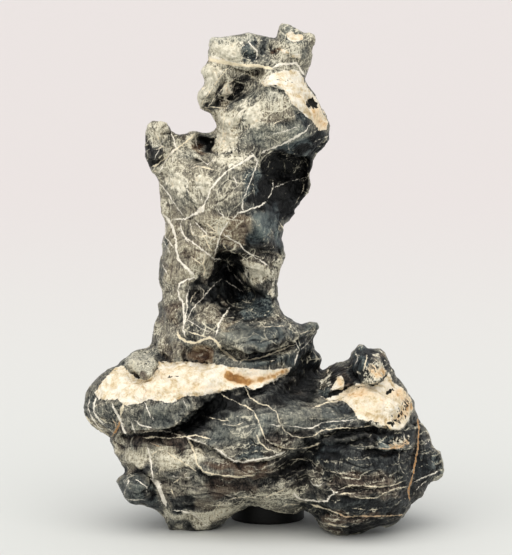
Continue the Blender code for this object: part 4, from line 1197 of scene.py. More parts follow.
@dataclass
class RockShape:
    """Sculpts the rock: its outline extruded, swollen to its soundings, cut with relief and roughened."""

    sight: Sight
    block: Block = Block()
    slab_depths: Point = (-0.12, 0.14)
    rim_rounding: float = 0.030
    rim_share: float = 0.16
    least_thickness: float = 0.012
    ledge_boldness: float = 1.5
    ledge_end: float = 0.15
    lobe_groove: float = 3.5
    groove_share: float = 0.35
    coarse_cell: float = 0.0016
    fine_cell: float = 0.0011
    most_triangles: int = 196_000
    # how willingly the front is thinned where the back counts 1, in steps, and how much that matters
    front_thinning: float = 0.2
    thinning_steps: int = 5
    thinning_weight: float = 3.0
    # share, size and seed of the lumps, and the heights of lumps and folds in front and how much more behind
    lumps: tuple = ((0.7, 0.034, 4), (0.3, 0.017, 9))
    lump_height: Point = (0.0009, 0.0030)
    fold_height: Point = (0.0006, 0.0030)
    wander: float = 0.004
    creases: tuple[Crease, ...] = (
        Crease(0.0015, 0.036, 0.30, 2.6, 71), Crease(0.0015, 0.020, 0.28, 2.2, 72),
        Crease(0.0008, 0.010, 0.30, 1.8, 73),
    )
    outline_push: float = 0.0004
    outline_wear: float = 0.0005
    underside: float = 0.034
    underside_lumps: float = 0.003
    rim_height: float = 0.018
    rim_depth: Point = (-0.014, 0.008)
    feet: tuple[Foot, ...] = (Foot((-0.048, -0.002), (0.026, 0.018)), Foot((0.074, -0.018), (0.038, 0.024)))
    foot_flare: float = 0.020
    foot_depth: float = 0.004
    boss_radius: float = 0.016
    block_clearance: float = 0.003
    seat_height: float = 0.0242

    def slab(self) -> Thing:
        """The outline, extruded along the sight lines between the two slab depths."""
        corners = places(OUTLINE)
        count = len(corners)
        rings = [self.sight.from_sketch(corners, np.full(count, depth)) for depth in self.slab_depths]
        sides = [((i + 1) % count, i, count + i, count + (i + 1) % count) for i in range(count)]
        caps = [tuple(range(count)), tuple(range(2 * count - 1, count - 1, -1))]
        mesh = bpy.data.meshes.new("rock")
        mesh.from_pydata(np.vstack(rings).tolist(), [], caps + sides)
        shell = bmesh.new()
        shell.from_mesh(mesh)
        bmesh.ops.recalc_face_normals(shell, faces=shell.faces)
        shell.to_mesh(mesh)
        shell.free()
        return add_object("limestone_rock", mesh)

    def remesh(self, rock: Thing, cell: float, smoothing: int) -> None:
        """Makes the mesh one even skin.

        Args:
            rock: the rock so far.
            cell: about how far apart the skin's points are, in metres.
            smoothing: how many passes ease it.
        """
        skin = rock.modifiers.new("skin", "REMESH")
        skin.mode = "VOXEL"
        skin.voxel_size = cell
        if smoothing:
            soft = rock.modifiers.new("soft", "SMOOTH")
            soft.factor = 0.5
            soft.iterations = smoothing
        settle(rock)

    def relief(self, sketch: Array, strokes: tuple, ledges: tuple, lobes: tuple) -> Array:
        """Each stroke fades as 1 - ease(gap / reach), and each ledge steps at its line.

        A ledge fades as (1 - gap / reach)², and dies out towards its ends. A lobe rises from its edge as a
        quarter circle does, with a groove of (1 - gap / groove)² along the edge.

        Args:
            sketch: n by 2 sketch coordinates.
            strokes: bulges and hollows.
            ledges: steps.
            lobes: rounded pieces with crisp edges.
        Returns:
            n heights, in metres.
        """
        height = np.zeros(len(sketch))
        for stroke in strokes:
            near = near_line(sketch, stroke.line, stroke.reach)
            gap = read_line(sketch[near], places(stroke.line)).gap
            height[near] += stroke.rise * (1 - ease(gap / stroke.reach))
        for ledge in ledges:
            near = near_line(sketch, ledge.line, ledge.reach)
            reading = read_line(sketch[near], places(ledge.line))
            end_fade = self.ledge_end + (1 - self.ledge_end) * ease(reading.to_end() / ledge.reach)
            fade = np.clip(1 - reading.gap / ledge.reach, 0, 1) ** 2 * end_fade
            height[near] += self.ledge_boldness * fade * np.where(reading.offset < 0, ledge.rise, -ledge.fall)
        for lobe in lobes:
            near = near_line(sketch, lobe.line, self.lobe_groove)
            distance = inside_distance(sketch[near], places(lobe.line))
            inward = np.clip(distance / lobe.rounding, 0, 1)
            groove = np.clip(1 - np.abs(distance) / self.lobe_groove, 0, 1) ** 2
            height[near] += lobe.rise * (np.sqrt(1 - (1 - inward) ** 2) - self.groove_share * groove)
        return height / 1000

    def halves(self, sketch: Array) -> tuple[Array, Array]:
        """The plain stone's middle depth and half thickness behind each sketch point."""
        table = places(SOUNDINGS)
        front, back = (spline_sheet(table[:, :2], table[:, side] / 1000, sketch) for side in (2, 3))
        return (front + back) / 2, np.maximum((back - front) / 2, self.least_thickness / 2)

    def swell(self, rock: Thing) -> None:
        """Moves the slab's faces along their sight lines: middle depth, half thickness and relief, added up.

        The half thickness falls to the rim share at the outline, as a quarter circle does.

        Args:
            rock: the slab, as an even skin.
        """
        points = read_points(rock)
        sketch = self.sight.to_sketch(points)
        inward = inside_distance(sketch, places(OUTLINE)) * self.sight.square
        inward = np.clip(inward / self.rim_rounding, 0, 1)
        fullness = self.rim_share + (1 - self.rim_share) * np.sqrt(1 - (1 - inward) ** 2)
        detail = ease(inward * 4)
        middle, reach = self.halves(sketch)
        relief = self.relief(sketch, FRONT_STROKES, FRONT_LEDGES, FRONT_LOBES)
        front = middle - reach * fullness - detail * relief
        back = middle + reach * fullness + detail * self.relief(sketch, BACK_STROKES, BACK_LEDGES, ())
        back = np.maximum(back, front + self.least_thickness * fullness)
        low, high = self.slab_depths
        through = (points[:, 1] - low) / (high - low)
        write_points(rock, self.sight.from_sketch(sketch, front + through * (back - front)))

    def roughen(self, rock: Thing) -> None:
        """Adds lumps and folds along the normals, strong behind, and finer wear all over.

        A fold field is 0.6 - |random field|, which is sharp along its crests.

        Args:
            rock: the swollen rock.
        """
        points = read_points(rock)
        normals = read_normals(rock)
        behind = ease((normals @ self.sight.axes()[1] + 0.35) / 0.7)
        inward = inside_distance(self.sight.to_sketch(points), places(OUTLINE))
        room = np.clip(inward * self.sight.square * 0.6, 0, None)
        lumps = sum(share * random_field(points, size, seed) for share, size, seed in self.lumps)
        folds = 0.6 - np.abs(random_field(points, 0.040, 21, flatness=2.6))
        (lump, lump_behind), (fold, fold_behind) = self.lump_height, self.fold_height
        push = (lump + lump_behind * behind) * lumps + (fold + fold_behind * behind) * folds
        wander = np.stack([random_field(points, 0.030, seed) for seed in (51, 52, 53)], axis=1)
        bent = points + self.wander * wander
        relief_height = 0.0007 * random_field(bent, 0.013, 64, flatness=1.6)
        above_feet = ease(points[:, 2] / self.foot_flare - 1)
        for crease in self.creases:
            shown = ease(random_field(points, 2 * crease.size, crease.seed + 10) + 0.7) * above_feet
            lines = np.abs(random_field(bent, crease.size, crease.seed, crease.flatness))
            relief_height -= crease.depth * shown * np.clip(1 - lines / crease.width, 0, 1) ** 2
        relief_height += 0.00035 * (0.6 - np.abs(random_field(bent, 0.0055, 62, flatness=1.5)))
        relief_height += 0.0002 * random_field(bent, 0.0030, 63)
        push = np.clip(push, -room - self.outline_push, room)
        push += np.clip(relief_height, -room - self.outline_wear, room + self.outline_wear)
        write_points(rock, points + normals * push[:, None])

    def floor_under(self, points: Array) -> Array:
        """The lowest the rock may reach at each point: the hollow underside, but for the feet and the seat.

        Args:
            points: n by 3 places.
        Returns:
            n heights.
        """
        inwards = ease((points[:, 1] - self.rim_depth[0]) / (self.rim_depth[1] - self.rim_depth[0]))
        floor = self.rim_height + (self.underside - self.rim_height) * inwards
        floor += self.underside_lumps * random_field(points * (1, 1, 0), 0.020, 33)
        for foot in self.feet:
            outside = (np.hypot(*((points[:, :2] - foot.centre) / foot.half).T) - 1) * min(foot.half)
            sole = (floor + self.foot_depth) * ease(outside / self.foot_flare) - self.foot_depth
            floor = np.minimum(floor, sole)
        from_block = np.hypot(*(points[:, :2] - self.block.centre).T)
        seat = self.seat_height
        boss = seat + (floor - seat) * ease((from_block - self.boss_radius) / self.foot_flare)
        floor = np.minimum(floor, boss)
        clear = 1 - ease((from_block - self.block.radius - self.block_clearance) / self.block_clearance)
        return np.where(clear > 0, np.maximum(floor, seat * clear), floor)

    def thin_back(self, rock: Thing) -> None:
        """Collapses the skin to its most triangles, and spares the front, which is drawn in finer detail.

        Args:
            rock: the rock with all its relief.
        """
        behind = ease((read_normals(rock) @ self.sight.axes()[1] + 0.3) / 0.5)
        behind = self.front_thinning + (1 - self.front_thinning) * behind
        group = rock.vertex_groups.new(name="behind")
        steps = np.round(behind * self.thinning_steps).astype(int)
        for step in range(1, self.thinning_steps + 1):
            group.add(np.flatnonzero(steps == step).tolist(), step / self.thinning_steps, "REPLACE")
        thin = rock.modifiers.new("thin", "DECIMATE")
        thin.ratio = self.most_triangles / count_triangles(rock)
        LOG.info("thinning the rock from %d triangles", count_triangles(rock))
        thin.vertex_group = group.name
        thin.vertex_group_factor = self.thinning_weight
        settle(rock)
        rock.data.validate()
        rock.vertex_groups.clear()

    def build(self) -> Thing:
        """The finished shape, in the sketch's own frame."""
        rock = self.slab()
        self.remesh(rock, self.coarse_cell, 0)
        self.swell(rock)
        self.remesh(rock, self.fine_cell, 1)
        self.roughen(rock)
        raise_to(rock, self.floor_under(read_points(rock)))
        raise_to(rock, 0.0)
        self.thin_back(rock)
        raise_to(rock, 0.0)
        rock.data.shade_smooth()
        return rock


@dataclass
class RockMarks:
    """Keeps what is only colour on the rock's points: veins in layers, sheets of calcite, tints, tones with
    painted shade, and heights for painted shade and light.

    A point holds one vein of each layer, so veins that come near each other lie in different layers.

    Args:
        sight: the eye that the sketch is drawn for.
        vein_room: for each side, the least gap between two veins of a layer, and how far from a line the
            points hold it, in squares; both are wider behind, where the points lie further apart.
        vein_fade: how far a vein takes to fade out beyond that.
        vein_border: how much further out its offset is still written.
        end_fade: how far it goes on past the end of its line.
        end_share: the share of its width that is left at the end.
        end_length: how far from the end it has its full width.
        blank_offset: the offset where there is no vein.
        patch_reach: the greatest distance that is kept for a patch.
        plain_stone: tone, tinge and grain where there is no zone.
        sketch_wander: the lump size in metres and the most squares by which the zones' edges wander.
        relief_rounds: rounds of averaging up to the fine height, and from there to the broad one.
        relief_powers: how fast each falls where the points lie further apart.
        fine_spacing: the spacing, in metres, up to which neither does.
    """

    sight: Sight
    vein_room: dict[Side, Point] = field(
        default_factory=lambda: {Side.FRONT: (10.0, 2.4), Side.BACK: (21.0, 7.0)}
    )
    vein_fade: float = 2.0
    vein_border: float = 6.0
    end_fade: float = 3.0
    end_share: float = 0.35
    end_length: float = 6.0
    blank_offset: float = 12.0
    patch_reach: float = 14.0
    plain_stone: tuple[float, float, float] = (0.40, 0.0, 1.0)
    sketch_wander: Point = (0.009, 3.0)
    relief_rounds: tuple[int, int] = (6, 54)
    relief_powers: Point = (1.4, 1.2)
    fine_spacing: float = 0.0013
    layers: int = field(init=False, default=0)

    def sort_veins(self, veins: tuple[Vein, ...], room: float) -> list[list[Vein]]:
        """Puts each vein in the first layer where it keeps its room from all the others, by points along it.

        Args:
            veins: the veins of one side.
            room: the least gap between two veins of a layer.
        Returns:
            The veins of each layer.
        """
        layers: list[list[Vein]] = []
        for vein in veins:
            corners = places(vein.line)
            beads = np.vstack([np.linspace(a, b, 6) for a, b in zip(corners[:-1], corners[1:])])
            for layer in layers:
                if all(read_line(beads, places(other.line)).gap.min() > room for other in layer):
                    layer.append(vein)
                    break
            else:
                layers.append([vein])
        return layers

    def draw_vein(self, values: Array, vein: Vein, sketch: Array, facing: Array, hold: float) -> None:
        """Writes a vein's signed offset, half width and tint on the points near it.

        The half width narrows to a third at the ends, and falls to -1 away from the line, where nothing
        shows. The offset is written further out than that, so it passes through nought only on the line.

        Args:
            values: n by 3 numbers of the vein's layer, which are changed.
            vein: the vein.
            sketch: n by 2 sketch coordinates.
            facing: how far each point faces the vein's side, from 0 to 1.
            hold: how far from the line the points hold it.
        """
        near = near_line(sketch, vein.line, hold + self.vein_fade + self.vein_border)
        near = near[facing[near] > 0.02]
        reading = read_line(sketch[near], places(vein.line))
        mask = facing[near] * (1 - ease((reading.gap - hold) / self.vein_fade))
        mask *= np.where(reading.to_end() < 0.01, 1 - ease(reading.gap / self.end_fade), 1)
        fullness = self.end_share + (1 - self.end_share) * ease(reading.to_end() / self.end_length)
        half_width = vein.width / 2 * fullness
        reach = mask * (half_width + 1) - 1
        better = reach >= values[near, 1]
        near = near[better]
        values[near, 0] = reading.offset[better]
        values[near, 1] = reach[better]
        values[near, 2] = vein.tint.value

    def draw_patches(self, patches: tuple[Line, ...], sketch: Array) -> Array:
        """The greatest signed distance to any patch, greater than 0 inside one and held within the reach."""
        distance = np.full(len(sketch), -self.patch_reach)
        for patch in patches:
            near = near_line(sketch, patch, self.patch_reach)
            distance[near] = np.maximum(distance[near], inside_distance(sketch[near], places(patch)))
        return np.clip(distance, -self.patch_reach, self.patch_reach)

    def draw_washes(self, washes: tuple[Wash, ...], sketch: Array) -> Array:
        """The sum of the washes, each of which fades as 1 - ease(gap / reach)."""
        total = np.zeros(len(sketch))
        for wash in washes:
            near = near_line(sketch, wash.line, wash.reach)
            gap = read_line(sketch[near], places(wash.line)).gap
            total[near] += wash.amount * (1 - ease(gap / wash.reach))
        return total

    def draw_zones(self, zones: tuple[Zone, ...], sketch: Array) -> Array:
        """Tone, tinge and grain: each zone covers those before it by ease(0.5 + distance inside / edge).

        Args:
            zones: the zones of one side.
            sketch: n by 2 sketch coordinates.
        Returns:
            3 by n numbers, which are those of plain stone where there is no zone.
        """
        values = np.tile(np.array(self.plain_stone)[:, None], len(sketch))
        for zone in zones:
            near = near_line(sketch, zone.line, zone.edge)
            cover = ease(0.5 + inside_distance(sketch[near], places(zone.line)) / zone.edge)
            values[:, near] += cover * (np.array([[zone.tone], [zone.tinge], [zone.grain]]) - values[:, near])
        return values

    def relief_height(self, rock: Thing) -> tuple[Array, Array]:
        """How far points stand out from the same skin after a few and after many rounds of averaging.

        Points that lie further apart are averaged over a wider ring, so their heights are scaled down. The
        finish paints shade where these are low and light where they are high.

        Args:
            rock: the finished shape.
        Returns:
            The fine and the broad height, in millimetres.
        """
        points, normals = read_points(rock), read_normals(rock)
        ends = np.empty(len(rock.data.edges) * 2, int)
        rock.data.edges.foreach_get("vertices", ends)
        one, other = ends.reshape(-1, 2).T
        count = len(points)
        shares = 1 / (np.bincount(one, minlength=count) + np.bincount(other, minlength=count))[:, None]
        smooth, heights = points.copy(), []
        for rounds in self.relief_rounds:
            for _ in range(rounds):
                around = [
                    np.bincount(one, smooth[other, k], count) + np.bincount(other, smooth[one, k], count)
                    for k in range(3)
                ]
                smooth = (smooth + np.stack(around, axis=1) * shares) / 2
            heights.append(((points - smooth) * normals).sum(axis=1) * 1000)
        lengths = np.linalg.norm(points[one] - points[other], axis=1)
        spacing = (np.bincount(one, lengths, count) + np.bincount(other, lengths, count)) * shares[:, 0]
        scale = np.minimum(self.fine_spacing / spacing, 1)
        return tuple(height * scale**power for height, power in zip(heights, self.relief_powers))

    def draw(self, rock: Thing) -> None:
        """Draws both sides on the rock, and blends the tints where they meet.

        Args:
            rock: the finished shape, in the sketch's own frame.
        """
        sketch = self.sight.to_sketch(read_points(rock))
        away = read_normals(rock) @ self.sight.axes()[1]
        sides = {
            Side.FRONT: (VEINS, CREAM_PATCHES, TAN_PATCHES, TONES_AND_PAINTED_SHADE, STAINS, SPECKS),
            Side.BACK: (
                BACK_VEINS, BACK_CREAM_PATCHES, BACK_TAN_PATCHES, BACK_ZONES, BACK_STAINS, BACK_SPECKS
            ),
        }
        sorted_veins = {
            side: self.sort_veins(drawn[0], self.vein_room[side][0]) for side, drawn in sides.items()
        }
        self.layers = max(len(layers) for layers in sorted_veins.values())
        for index in range(self.layers):
            values = np.tile((self.blank_offset, -1.0, 0.0), (len(sketch), 1))
            for side, layers in sorted_veins.items():
                facing = ease((0.22 - side.value * away) / 0.3)
                for vein in layers[index] if index < len(layers) else []:
                    self.draw_vein(values, vein, sketch, facing, self.vein_room[side][1])
            write_attribute(rock, f"veins_{index}", *values.T)
        sheets, stone, tints = (np.zeros((rows, len(sketch))) for rows in (2, 3, 2))
        size, most = self.sketch_wander
        wander = np.stack([random_field(read_points(rock), size, seed) for seed in (81, 82)], axis=1)
        for side, (_, cream, tan, zones, *washes) in sides.items():
            facing = ease((0.3 - side.value * away) / 0.6)
            sheets += facing * np.stack([self.draw_patches(patches, sketch) for patches in (cream, tan)])
            stone += facing * self.draw_zones(zones, sketch + most * wander)
            tints += facing * np.stack([self.draw_washes(each, sketch) for each in washes])
        fine, broad = self.relief_height(rock)
        write_attribute(rock, "sheets", *sheets)
        write_attribute(rock, "stone", *stone)
        write_attribute(rock, "tints", *tints)
        # heights that the finish turns into painted shade in creases and painted light on ridges
        write_attribute(rock, "relief_height", np.clip(fine, -1, 1), np.clip(broad / 3, -1, 1))
        LOG.info("%d layers of veins on %d points", self.layers, len(sketch))


def per_mm(size: float) -> float:
    """The scale of a texture whose lumps are so many millimetres wide, for coordinates in metres."""
    return 1000 / size


def linear(colour: str) -> tuple[float, float, float, float]:
    """An sRGB hex colour as linear red, green, blue and an alpha of 1."""
    shares = [int(colour[i : i + 2], 16) / 255 for i in (1, 3, 5)]
    return (*(s / 12.92 if s <= 0.04045 else ((s + 0.055) / 1.055) ** 2.4 for s in shares), 1.0)


def fill_ramp(ramp: Socket, stops: Stops) -> Socket:
    """Sets a colour ramp's stops.

    Args:
        ramp: the ramp's colour output.
        stops: places from 0 to 1 and their colours.
    Returns:
        The same output.
    """
    elements = ramp.node.color_ramp.elements
    while len(elements) < len(stops):
        elements.new(1.0)
    for element, (place, colour) in zip(elements, stops):
        element.position = place
        element.color = linear(colour)
    return ramp


@dataclass
class Finish:
    """A material that is put together node by node."""

    name: str
    material: bpy.types.Material = field(init=False)
    place: Socket = field(init=False)

    def __post_init__(self) -> None:
        """Starts the material with nothing but its coordinates, which are in metres."""
        self.material = bpy.data.materials.new(self.name)
        self.material.use_nodes = True
        self.material.node_tree.nodes.clear()
        self.place = self.add_node("TexCoord", {})["Object"]

    def add_node(self, kind: str, inputs: dict[str | int, object], **settings: object) -> Outputs:
        """Adds a node with its settings and links.

        Args:
            kind: the node's type name after "ShaderNode".
            inputs: for each input, its value or the output that feeds it.
            settings: the node's own properties.
        Returns:
            The node's outputs.
        """
        tree = self.material.node_tree
        node = tree.nodes.new("ShaderNode" + kind)
        for name, value in settings.items():
            setattr(node, name, value)
        for name, value in inputs.items():
            if isinstance(value, Socket):
                tree.links.new(value, node.inputs[name])
            else:
                node.inputs[name].default_value = value
        return node.outputs

    def complete(self, surface: dict[str | int, object]) -> bpy.types.Material:
        """Gives the material its surface, from the shader's inputs, and hands it over."""
        self.add_node("OutputMaterial", {"Surface": self.add_node("BsdfPrincipled", surface)["BSDF"]})
        return self.material


@dataclass
class Limestone(Finish):
    """Dark limestone shot through with calcite, worn by water and then rubbed with wax.

    The wax gives the dark stone a satin sheen. Ridges are paler and creases darker, partly chalky wear and
    partly painted light and shade, and the calcite is matt and creamy.
    """

    name: str = "waxed_calcite_limestone"
    stone: Stops = (
        (0.0, "#040505"), (0.15, "#151617"), (0.3, "#393936"), (0.45, "#605E57"), (0.6, "#807D70"),
        (0.75, "#A39E8D"), (0.9, "#CBC6B4"), (1.0, "#E6E1D0"),
    )
    brown_stone: Stops = (
        (0.0, "#060403"), (0.15, "#1C140F"), (0.3, "#4A3529"), (0.45, "#6E5C4B"), (0.6, "#8D7F68"),
        (0.75, "#B1A486"), (0.9, "#D9CCAC"), (1.0, "#F2E8CC"),
    )
    # bluish stone, and on smooth dark lobes a painted sheen of the pale sky
    blue_stone_and_sheen: Stops = (
        (0.0, "#030508"), (0.15, "#0F151B"), (0.3, "#303A3E"), (0.45, "#545F5F"), (0.6, "#757E79"),
        (0.75, "#979D94"), (0.9, "#C2C5BC"), (1.0, "#E0E1D8"),
    )
    pale_film: Stops = ((0.3, "#8E8C80"), (0.5, "#B9B6A5"), (0.72, "#E2DECC"))
    crust: Stops = ((0.3, "#A39E8B"), (0.5, "#CFC9B5"), (0.72, "#F1EBD9"))
    veins: Stops = ((0.0, "#F4EDDE"), (0.3, "#EDE0C2"), (0.65, "#E4C29C"), (1.0, "#B98A5A"))
    calcite: Stops = (
        (0.22, "#B39A74"), (0.36, "#D2C09E"), (0.5, "#E5DAC4"), (0.64, "#F0EADC"), (0.8, "#F6F3EA")
    )
    iron: Stops = ((0.3, "#5E4026"), (0.5, "#94693B"), (0.7, "#BF965E"))
    peach: str = "#E8CAA0"
    speck: str = "#14130E"
    hairline: str = "#D6D0BA"
    calcite_crack: str = "#C0A078"
    # width in millimetres, detail and roughness of each noise
    noises: dict[str, tuple[float, float, float]] = field(default_factory=lambda: {
        "blotch": (24, 4.0, 0.55), "mottle": (7, 5.0, 0.62), "speckle": (3.0, 2.0, 0.6),
        "grit": (1.2, 2.0, 0.6), "wobble": (3.4, 3.0, 0.6),
    })
    # lean and turn of each set of fibres, in degrees
    fibres: dict[str, Point] = field(default_factory=lambda: {
        "fibre_up": (8.0, 20.0), "fibre_across": (78.0, 80.0), "fibre_left": (45.0, 75.0),
        "fibre_right": (-45.0, 100.0),
    })
    stretch: float = 0.11
    bend: float = 0.010
    grain_weights: tuple[tuple[str, float], ...] = (
        ("blotch", 0.28), ("mottle", 0.32), ("speckle", 0.34), ("grit", 1.45), ("fibre_up", 0.36),
        ("fibre_across", 0.56), ("fibre_left", 0.58), ("fibre_right", 0.58),
    )
    bedding_weight: float = 0.9
    # width of the cells and of the hairlines between them, in millimetres, and how strong these are
    cells: tuple = ((24, 0.26, 0.9), (10, 0.16, 0.6))
    # for each set of layers, spacing in millimetres, slope, the field that shows them and where they start to
    layers: tuple = ((5.5, 0.12, "low", 1.52), (3.4, 0.18, "low", 1.58), (8.0, 0.9, "high", 1.60))
    grains: dict[str, Socket] = field(init=False, default_factory=dict)

    def dress(self, vein_layers: int) -> bpy.types.Material:
        """Lays the finish's colours over one another, and adds its gloss and its relief.

        Args:
            vein_layers: how many layers of veins the points hold.
        Returns:
            The material.
        """
        self.grow_grains()
        stone, tints, sheets, relief_height = (self.held(name) for name in ("stone", "tints", "sheets", "relief_height"))
        colour, tone = self.body(stone, relief_height)
        hairs = self.hairlines()
        fine = self.share(0.70, 0.8, (hairs, 1.0), (tone, 0.95))
        fine = self.add_node("Math", {0: fine, 1: stone[2]}, operation="MULTIPLY", use_clamp=True)[0]
        crust, calcite = self.crusts(sheets), self.sheet(sheets, hairs)
        drawn = self.drawn_veins(vein_layers)
        pale = self.add_node("Math", {0: calcite[0], 1: crust[0]}, operation="MAXIMUM")[0]
        fine = (fine, linear(self.hairline))
        for cover, over in (fine, self.film(tone), crust, calcite, drawn, *self.stains(tints, pale)):
            colour = self.add_node("Mix", {0: cover, 6: colour, 7: over}, data_type="RGBA")[2]
        chalk = self.add_node("Math", {0: pale, 1: drawn[0]}, operation="MAXIMUM")[0]
        rough = self.add_node("MapRange", {"Value": chalk, "To Min": 0.40, "To Max": 0.65})[0]
        gloss = {"Roughness": rough, "IOR": 1.5, "Specular IOR Level": 0.16}
        relief = self.bump(calcite[0], drawn[0], stone[2])
        return self.complete({"Base Color": colour, "Normal": relief, **gloss})

    def total(self, start: object, *parts: tuple[object, object]) -> Socket:
        """The start and the weighted parts, added up, where a name stands for the grain field it names."""
        for part, weight in parts:
            part = self.grains[part] if isinstance(part, str) else part
            start = self.add_node("Math", {0: part, 1: weight, 2: start}, operation="MULTIPLY_ADD")[0]
        return start

    def share(self, start: float, width: float, *parts: tuple[object, object]) -> Socket:
        """The weighted parts, added up and eased to a cover.

        Args:
            start: the sum at which cover starts.
            width: how much further the sum goes until the cover is whole.
            parts: what is added up, each with its weight.
        Returns:
            The cover, from 0 to 1.
        """
        span = {"Value": self.total(0.0, *parts), "From Min": start, "From Max": start + width}
        return self.add_node("MapRange", span, interpolation_type="SMOOTHSTEP")[0]

    def held(self, name: str) -> Outputs:
        """The three numbers that the points hold under a name."""
        vector = self.add_node("Attribute", {}, attribute_name=name)["Vector"]
        return self.add_node("SeparateXYZ", {0: vector})

    def grow_grains(self) -> None:
        """Makes the fields that everything else is made from, each about 0.5, with lumps of its own size.

        A slow field bends their coordinates by a few millimetres. The fibres are noise drawn out long, each
        set along its own direction, and the bedding is drawn out level. "low" says how low a point is, more
        so towards the right, and "high" is its opposite.
        """
        drift = self.add_node("TexNoise", {"Vector": self.place, "Scale": per_mm(24), "Detail": 1.0})["Color"]
        bend = {0: drift, 1: (self.bend,) * 3, 2: self.place}
        bent = self.add_node("VectorMath", bend, operation="MULTIPLY_ADD")[0]
        drawn_out = {
            name: {"Rotation": (math.radians(lean), 0.0, math.radians(turn)), "Scale": (1, 1, self.stretch)}
            for name, (lean, turn) in self.fibres.items()
        }
        drawn_out["bedding"] = {"Scale": (self.stretch, self.stretch, 1.0)}
        noises = {**self.noises, **dict.fromkeys(self.fibres, (1.3, 1.0, 0.5)), "bedding": (2.6, 3.0, 0.65)}
        for name, (size, detail, rough) in noises.items():
            at = bent
            if name in drawn_out:
                at = self.add_node("Mapping", {"Vector": bent, **drawn_out[name]})[0]
            noise = {"Vector": at, "Scale": per_mm(size), "Detail": detail, "Roughness": rough}
            self.grains[name] = self.add_node("TexNoise", noise)[0]
        x, _, z = self.add_node("SeparateXYZ", {0: self.place})
        rightward = {"Value": x, "From Min": -0.09, "From Max": -0.02, "To Min": 0.5}
        rightward = self.add_node("MapRange", rightward)[0]
        lower = {"Value": z, "From Min": 0.10, "From Max": 0.14, "To Min": rightward, "To Max": 0.0}
        self.grains["low"] = self.add_node("MapRange", lower)[0]
        self.grains["high"] = self.add_node("Math", {0: 1.0, 1: self.grains["low"]}, operation="SUBTRACT")[0]
        self.grains["bent"] = bent

    def body(self, stone: Outputs, relief_height: Outputs) -> tuple[Socket, Socket]:
        """The stone's colour: its drawn tone, paler on ridges and darker in creases as painted light and
        shade, with stronger grain where it is pale.

        Args:
            stone: the drawn tone, tinge and grain.
            relief_height: the fine and the broad height, for painted shade in creases and painted light on
                ridges.
        Returns:
            The colour and the tone.
        """
        uneven = self.total(-0.5 * sum(weight for _, weight in self.grain_weights), *self.grain_weights)
        bedding = self.total(-0.5 * self.bedding_weight, ("bedding", self.bedding_weight))
        uneven = self.total(uneven, (bedding, self.grains["low"]))
        strength = {0: self.total(0.12, (stone[0], 1.15)), 1: stone[2]}
        strength = self.add_node("Math", strength, operation="MULTIPLY")[0]
        # painted light and shade: ridges paler and creases darker by their height, partly chalky wear
        tone = self.total(stone[0], (relief_height[0], 0.24), (relief_height[1], 0.12), (uneven, strength))
        tinge = self.total(-0.6, ("blotch", 1.2), (stone[1], 1.0))
        colour, brown, blue = (
            fill_ramp(self.add_node("ValToRGB", {"Fac": tone})[0], stops)
            for stops in (self.stone, self.brown_stone, self.blue_stone_and_sheen)
        )
        for over, sign in ((brown, 1.0), (blue, -1.0)):
            share = self.add_node("Math", {0: tinge, 1: sign}, operation="MULTIPLY", use_clamp=True)[0]
            colour = self.add_node("Mix", {0: share, 6: colour, 7: over}, data_type="RGBA")[2]
        return colour, tone

    def film(self, tone: Socket) -> tuple[Socket, Socket]:
        """Cover and colour of a thin film of calcite, fibrous and ragged, thicker where the stone is pale."""
        cover = self.share(
            3.05, 0.7, (tone, 1.3), ("mottle", 1.2), ("fibre_up", 1.0), ("fibre_across", 0.8), ("grit", 1.2)
        )
        thin = self.add_node("Math", {0: cover, 1: 0.6}, operation="MULTIPLY")[0]
        return thin, fill_ramp(self.add_node("ValToRGB", {"Fac": self.grains["speckle"]})[0], self.pale_film)

    def hairlines(self) -> Socket:
        """Fine veins: edges between cells, wavy layers and fibres, each shown only in patches.

        The cells show best high on the rock, and two sets of layers at its foot. The layers are the lines
        where a height, bent by a slow field, passes each next multiple of their spacing. All are drawn wider
        than the finest real ones, which wouldn't show.

        Returns:
            The cover, from 0 to 1.
        """
        total: object = 0.0
        for cell, width, strength in self.cells:
            grid = {"Vector": self.grains["bent"], "Scale": per_mm(cell)}
            edges = self.add_node("TexVoronoi", grid, feature="DISTANCE_TO_EDGE")["Distance"]
            edge = {"Value": edges, "From Min": width / cell, "From Max": 2.6 * width / cell}
            line = self.add_node("MapRange", {**edge, "To Min": strength, "To Max": 0.0})[0]
            total = self.total(total, (line, self.share(0.62, 0.12, ("blotch", 1.0), ("high", 0.16))))
        x, _, z = self.add_node("SeparateXYZ", {0: self.place})
        for spacing, slope, band, start in self.layers:
            level = self.total(
                0.0, (z, per_mm(spacing)), (x, -slope * per_mm(spacing)), ("blotch", 27.5 / spacing),
                ("mottle", 6.6 / spacing),
            )
            gap = self.add_node("Math", {0: level, 1: 1.0}, operation="PINGPONG")[0]
            fade = {"From Min": 0.25 / spacing, "From Max": 0.8 / spacing, "To Min": 0.8, "To Max": 0.0}
            line = self.add_node("MapRange", {"Value": gap, **fade})[0]
            shown = self.share(start, 0.1, ("blotch", 1.0), ("speckle", 0.3), (band, 1.0))
            total = self.total(total, (line, shown))
        for name in self.fibres:
            fibre = self.share(1.0, 0.08, (name, 1.0), ("blotch", 0.5), ("high", 0.06))
            total = self.total(total, (fibre, 0.5))
        return self.add_node("Math", {0: total, 1: 1.0}, operation="MINIMUM")[0]

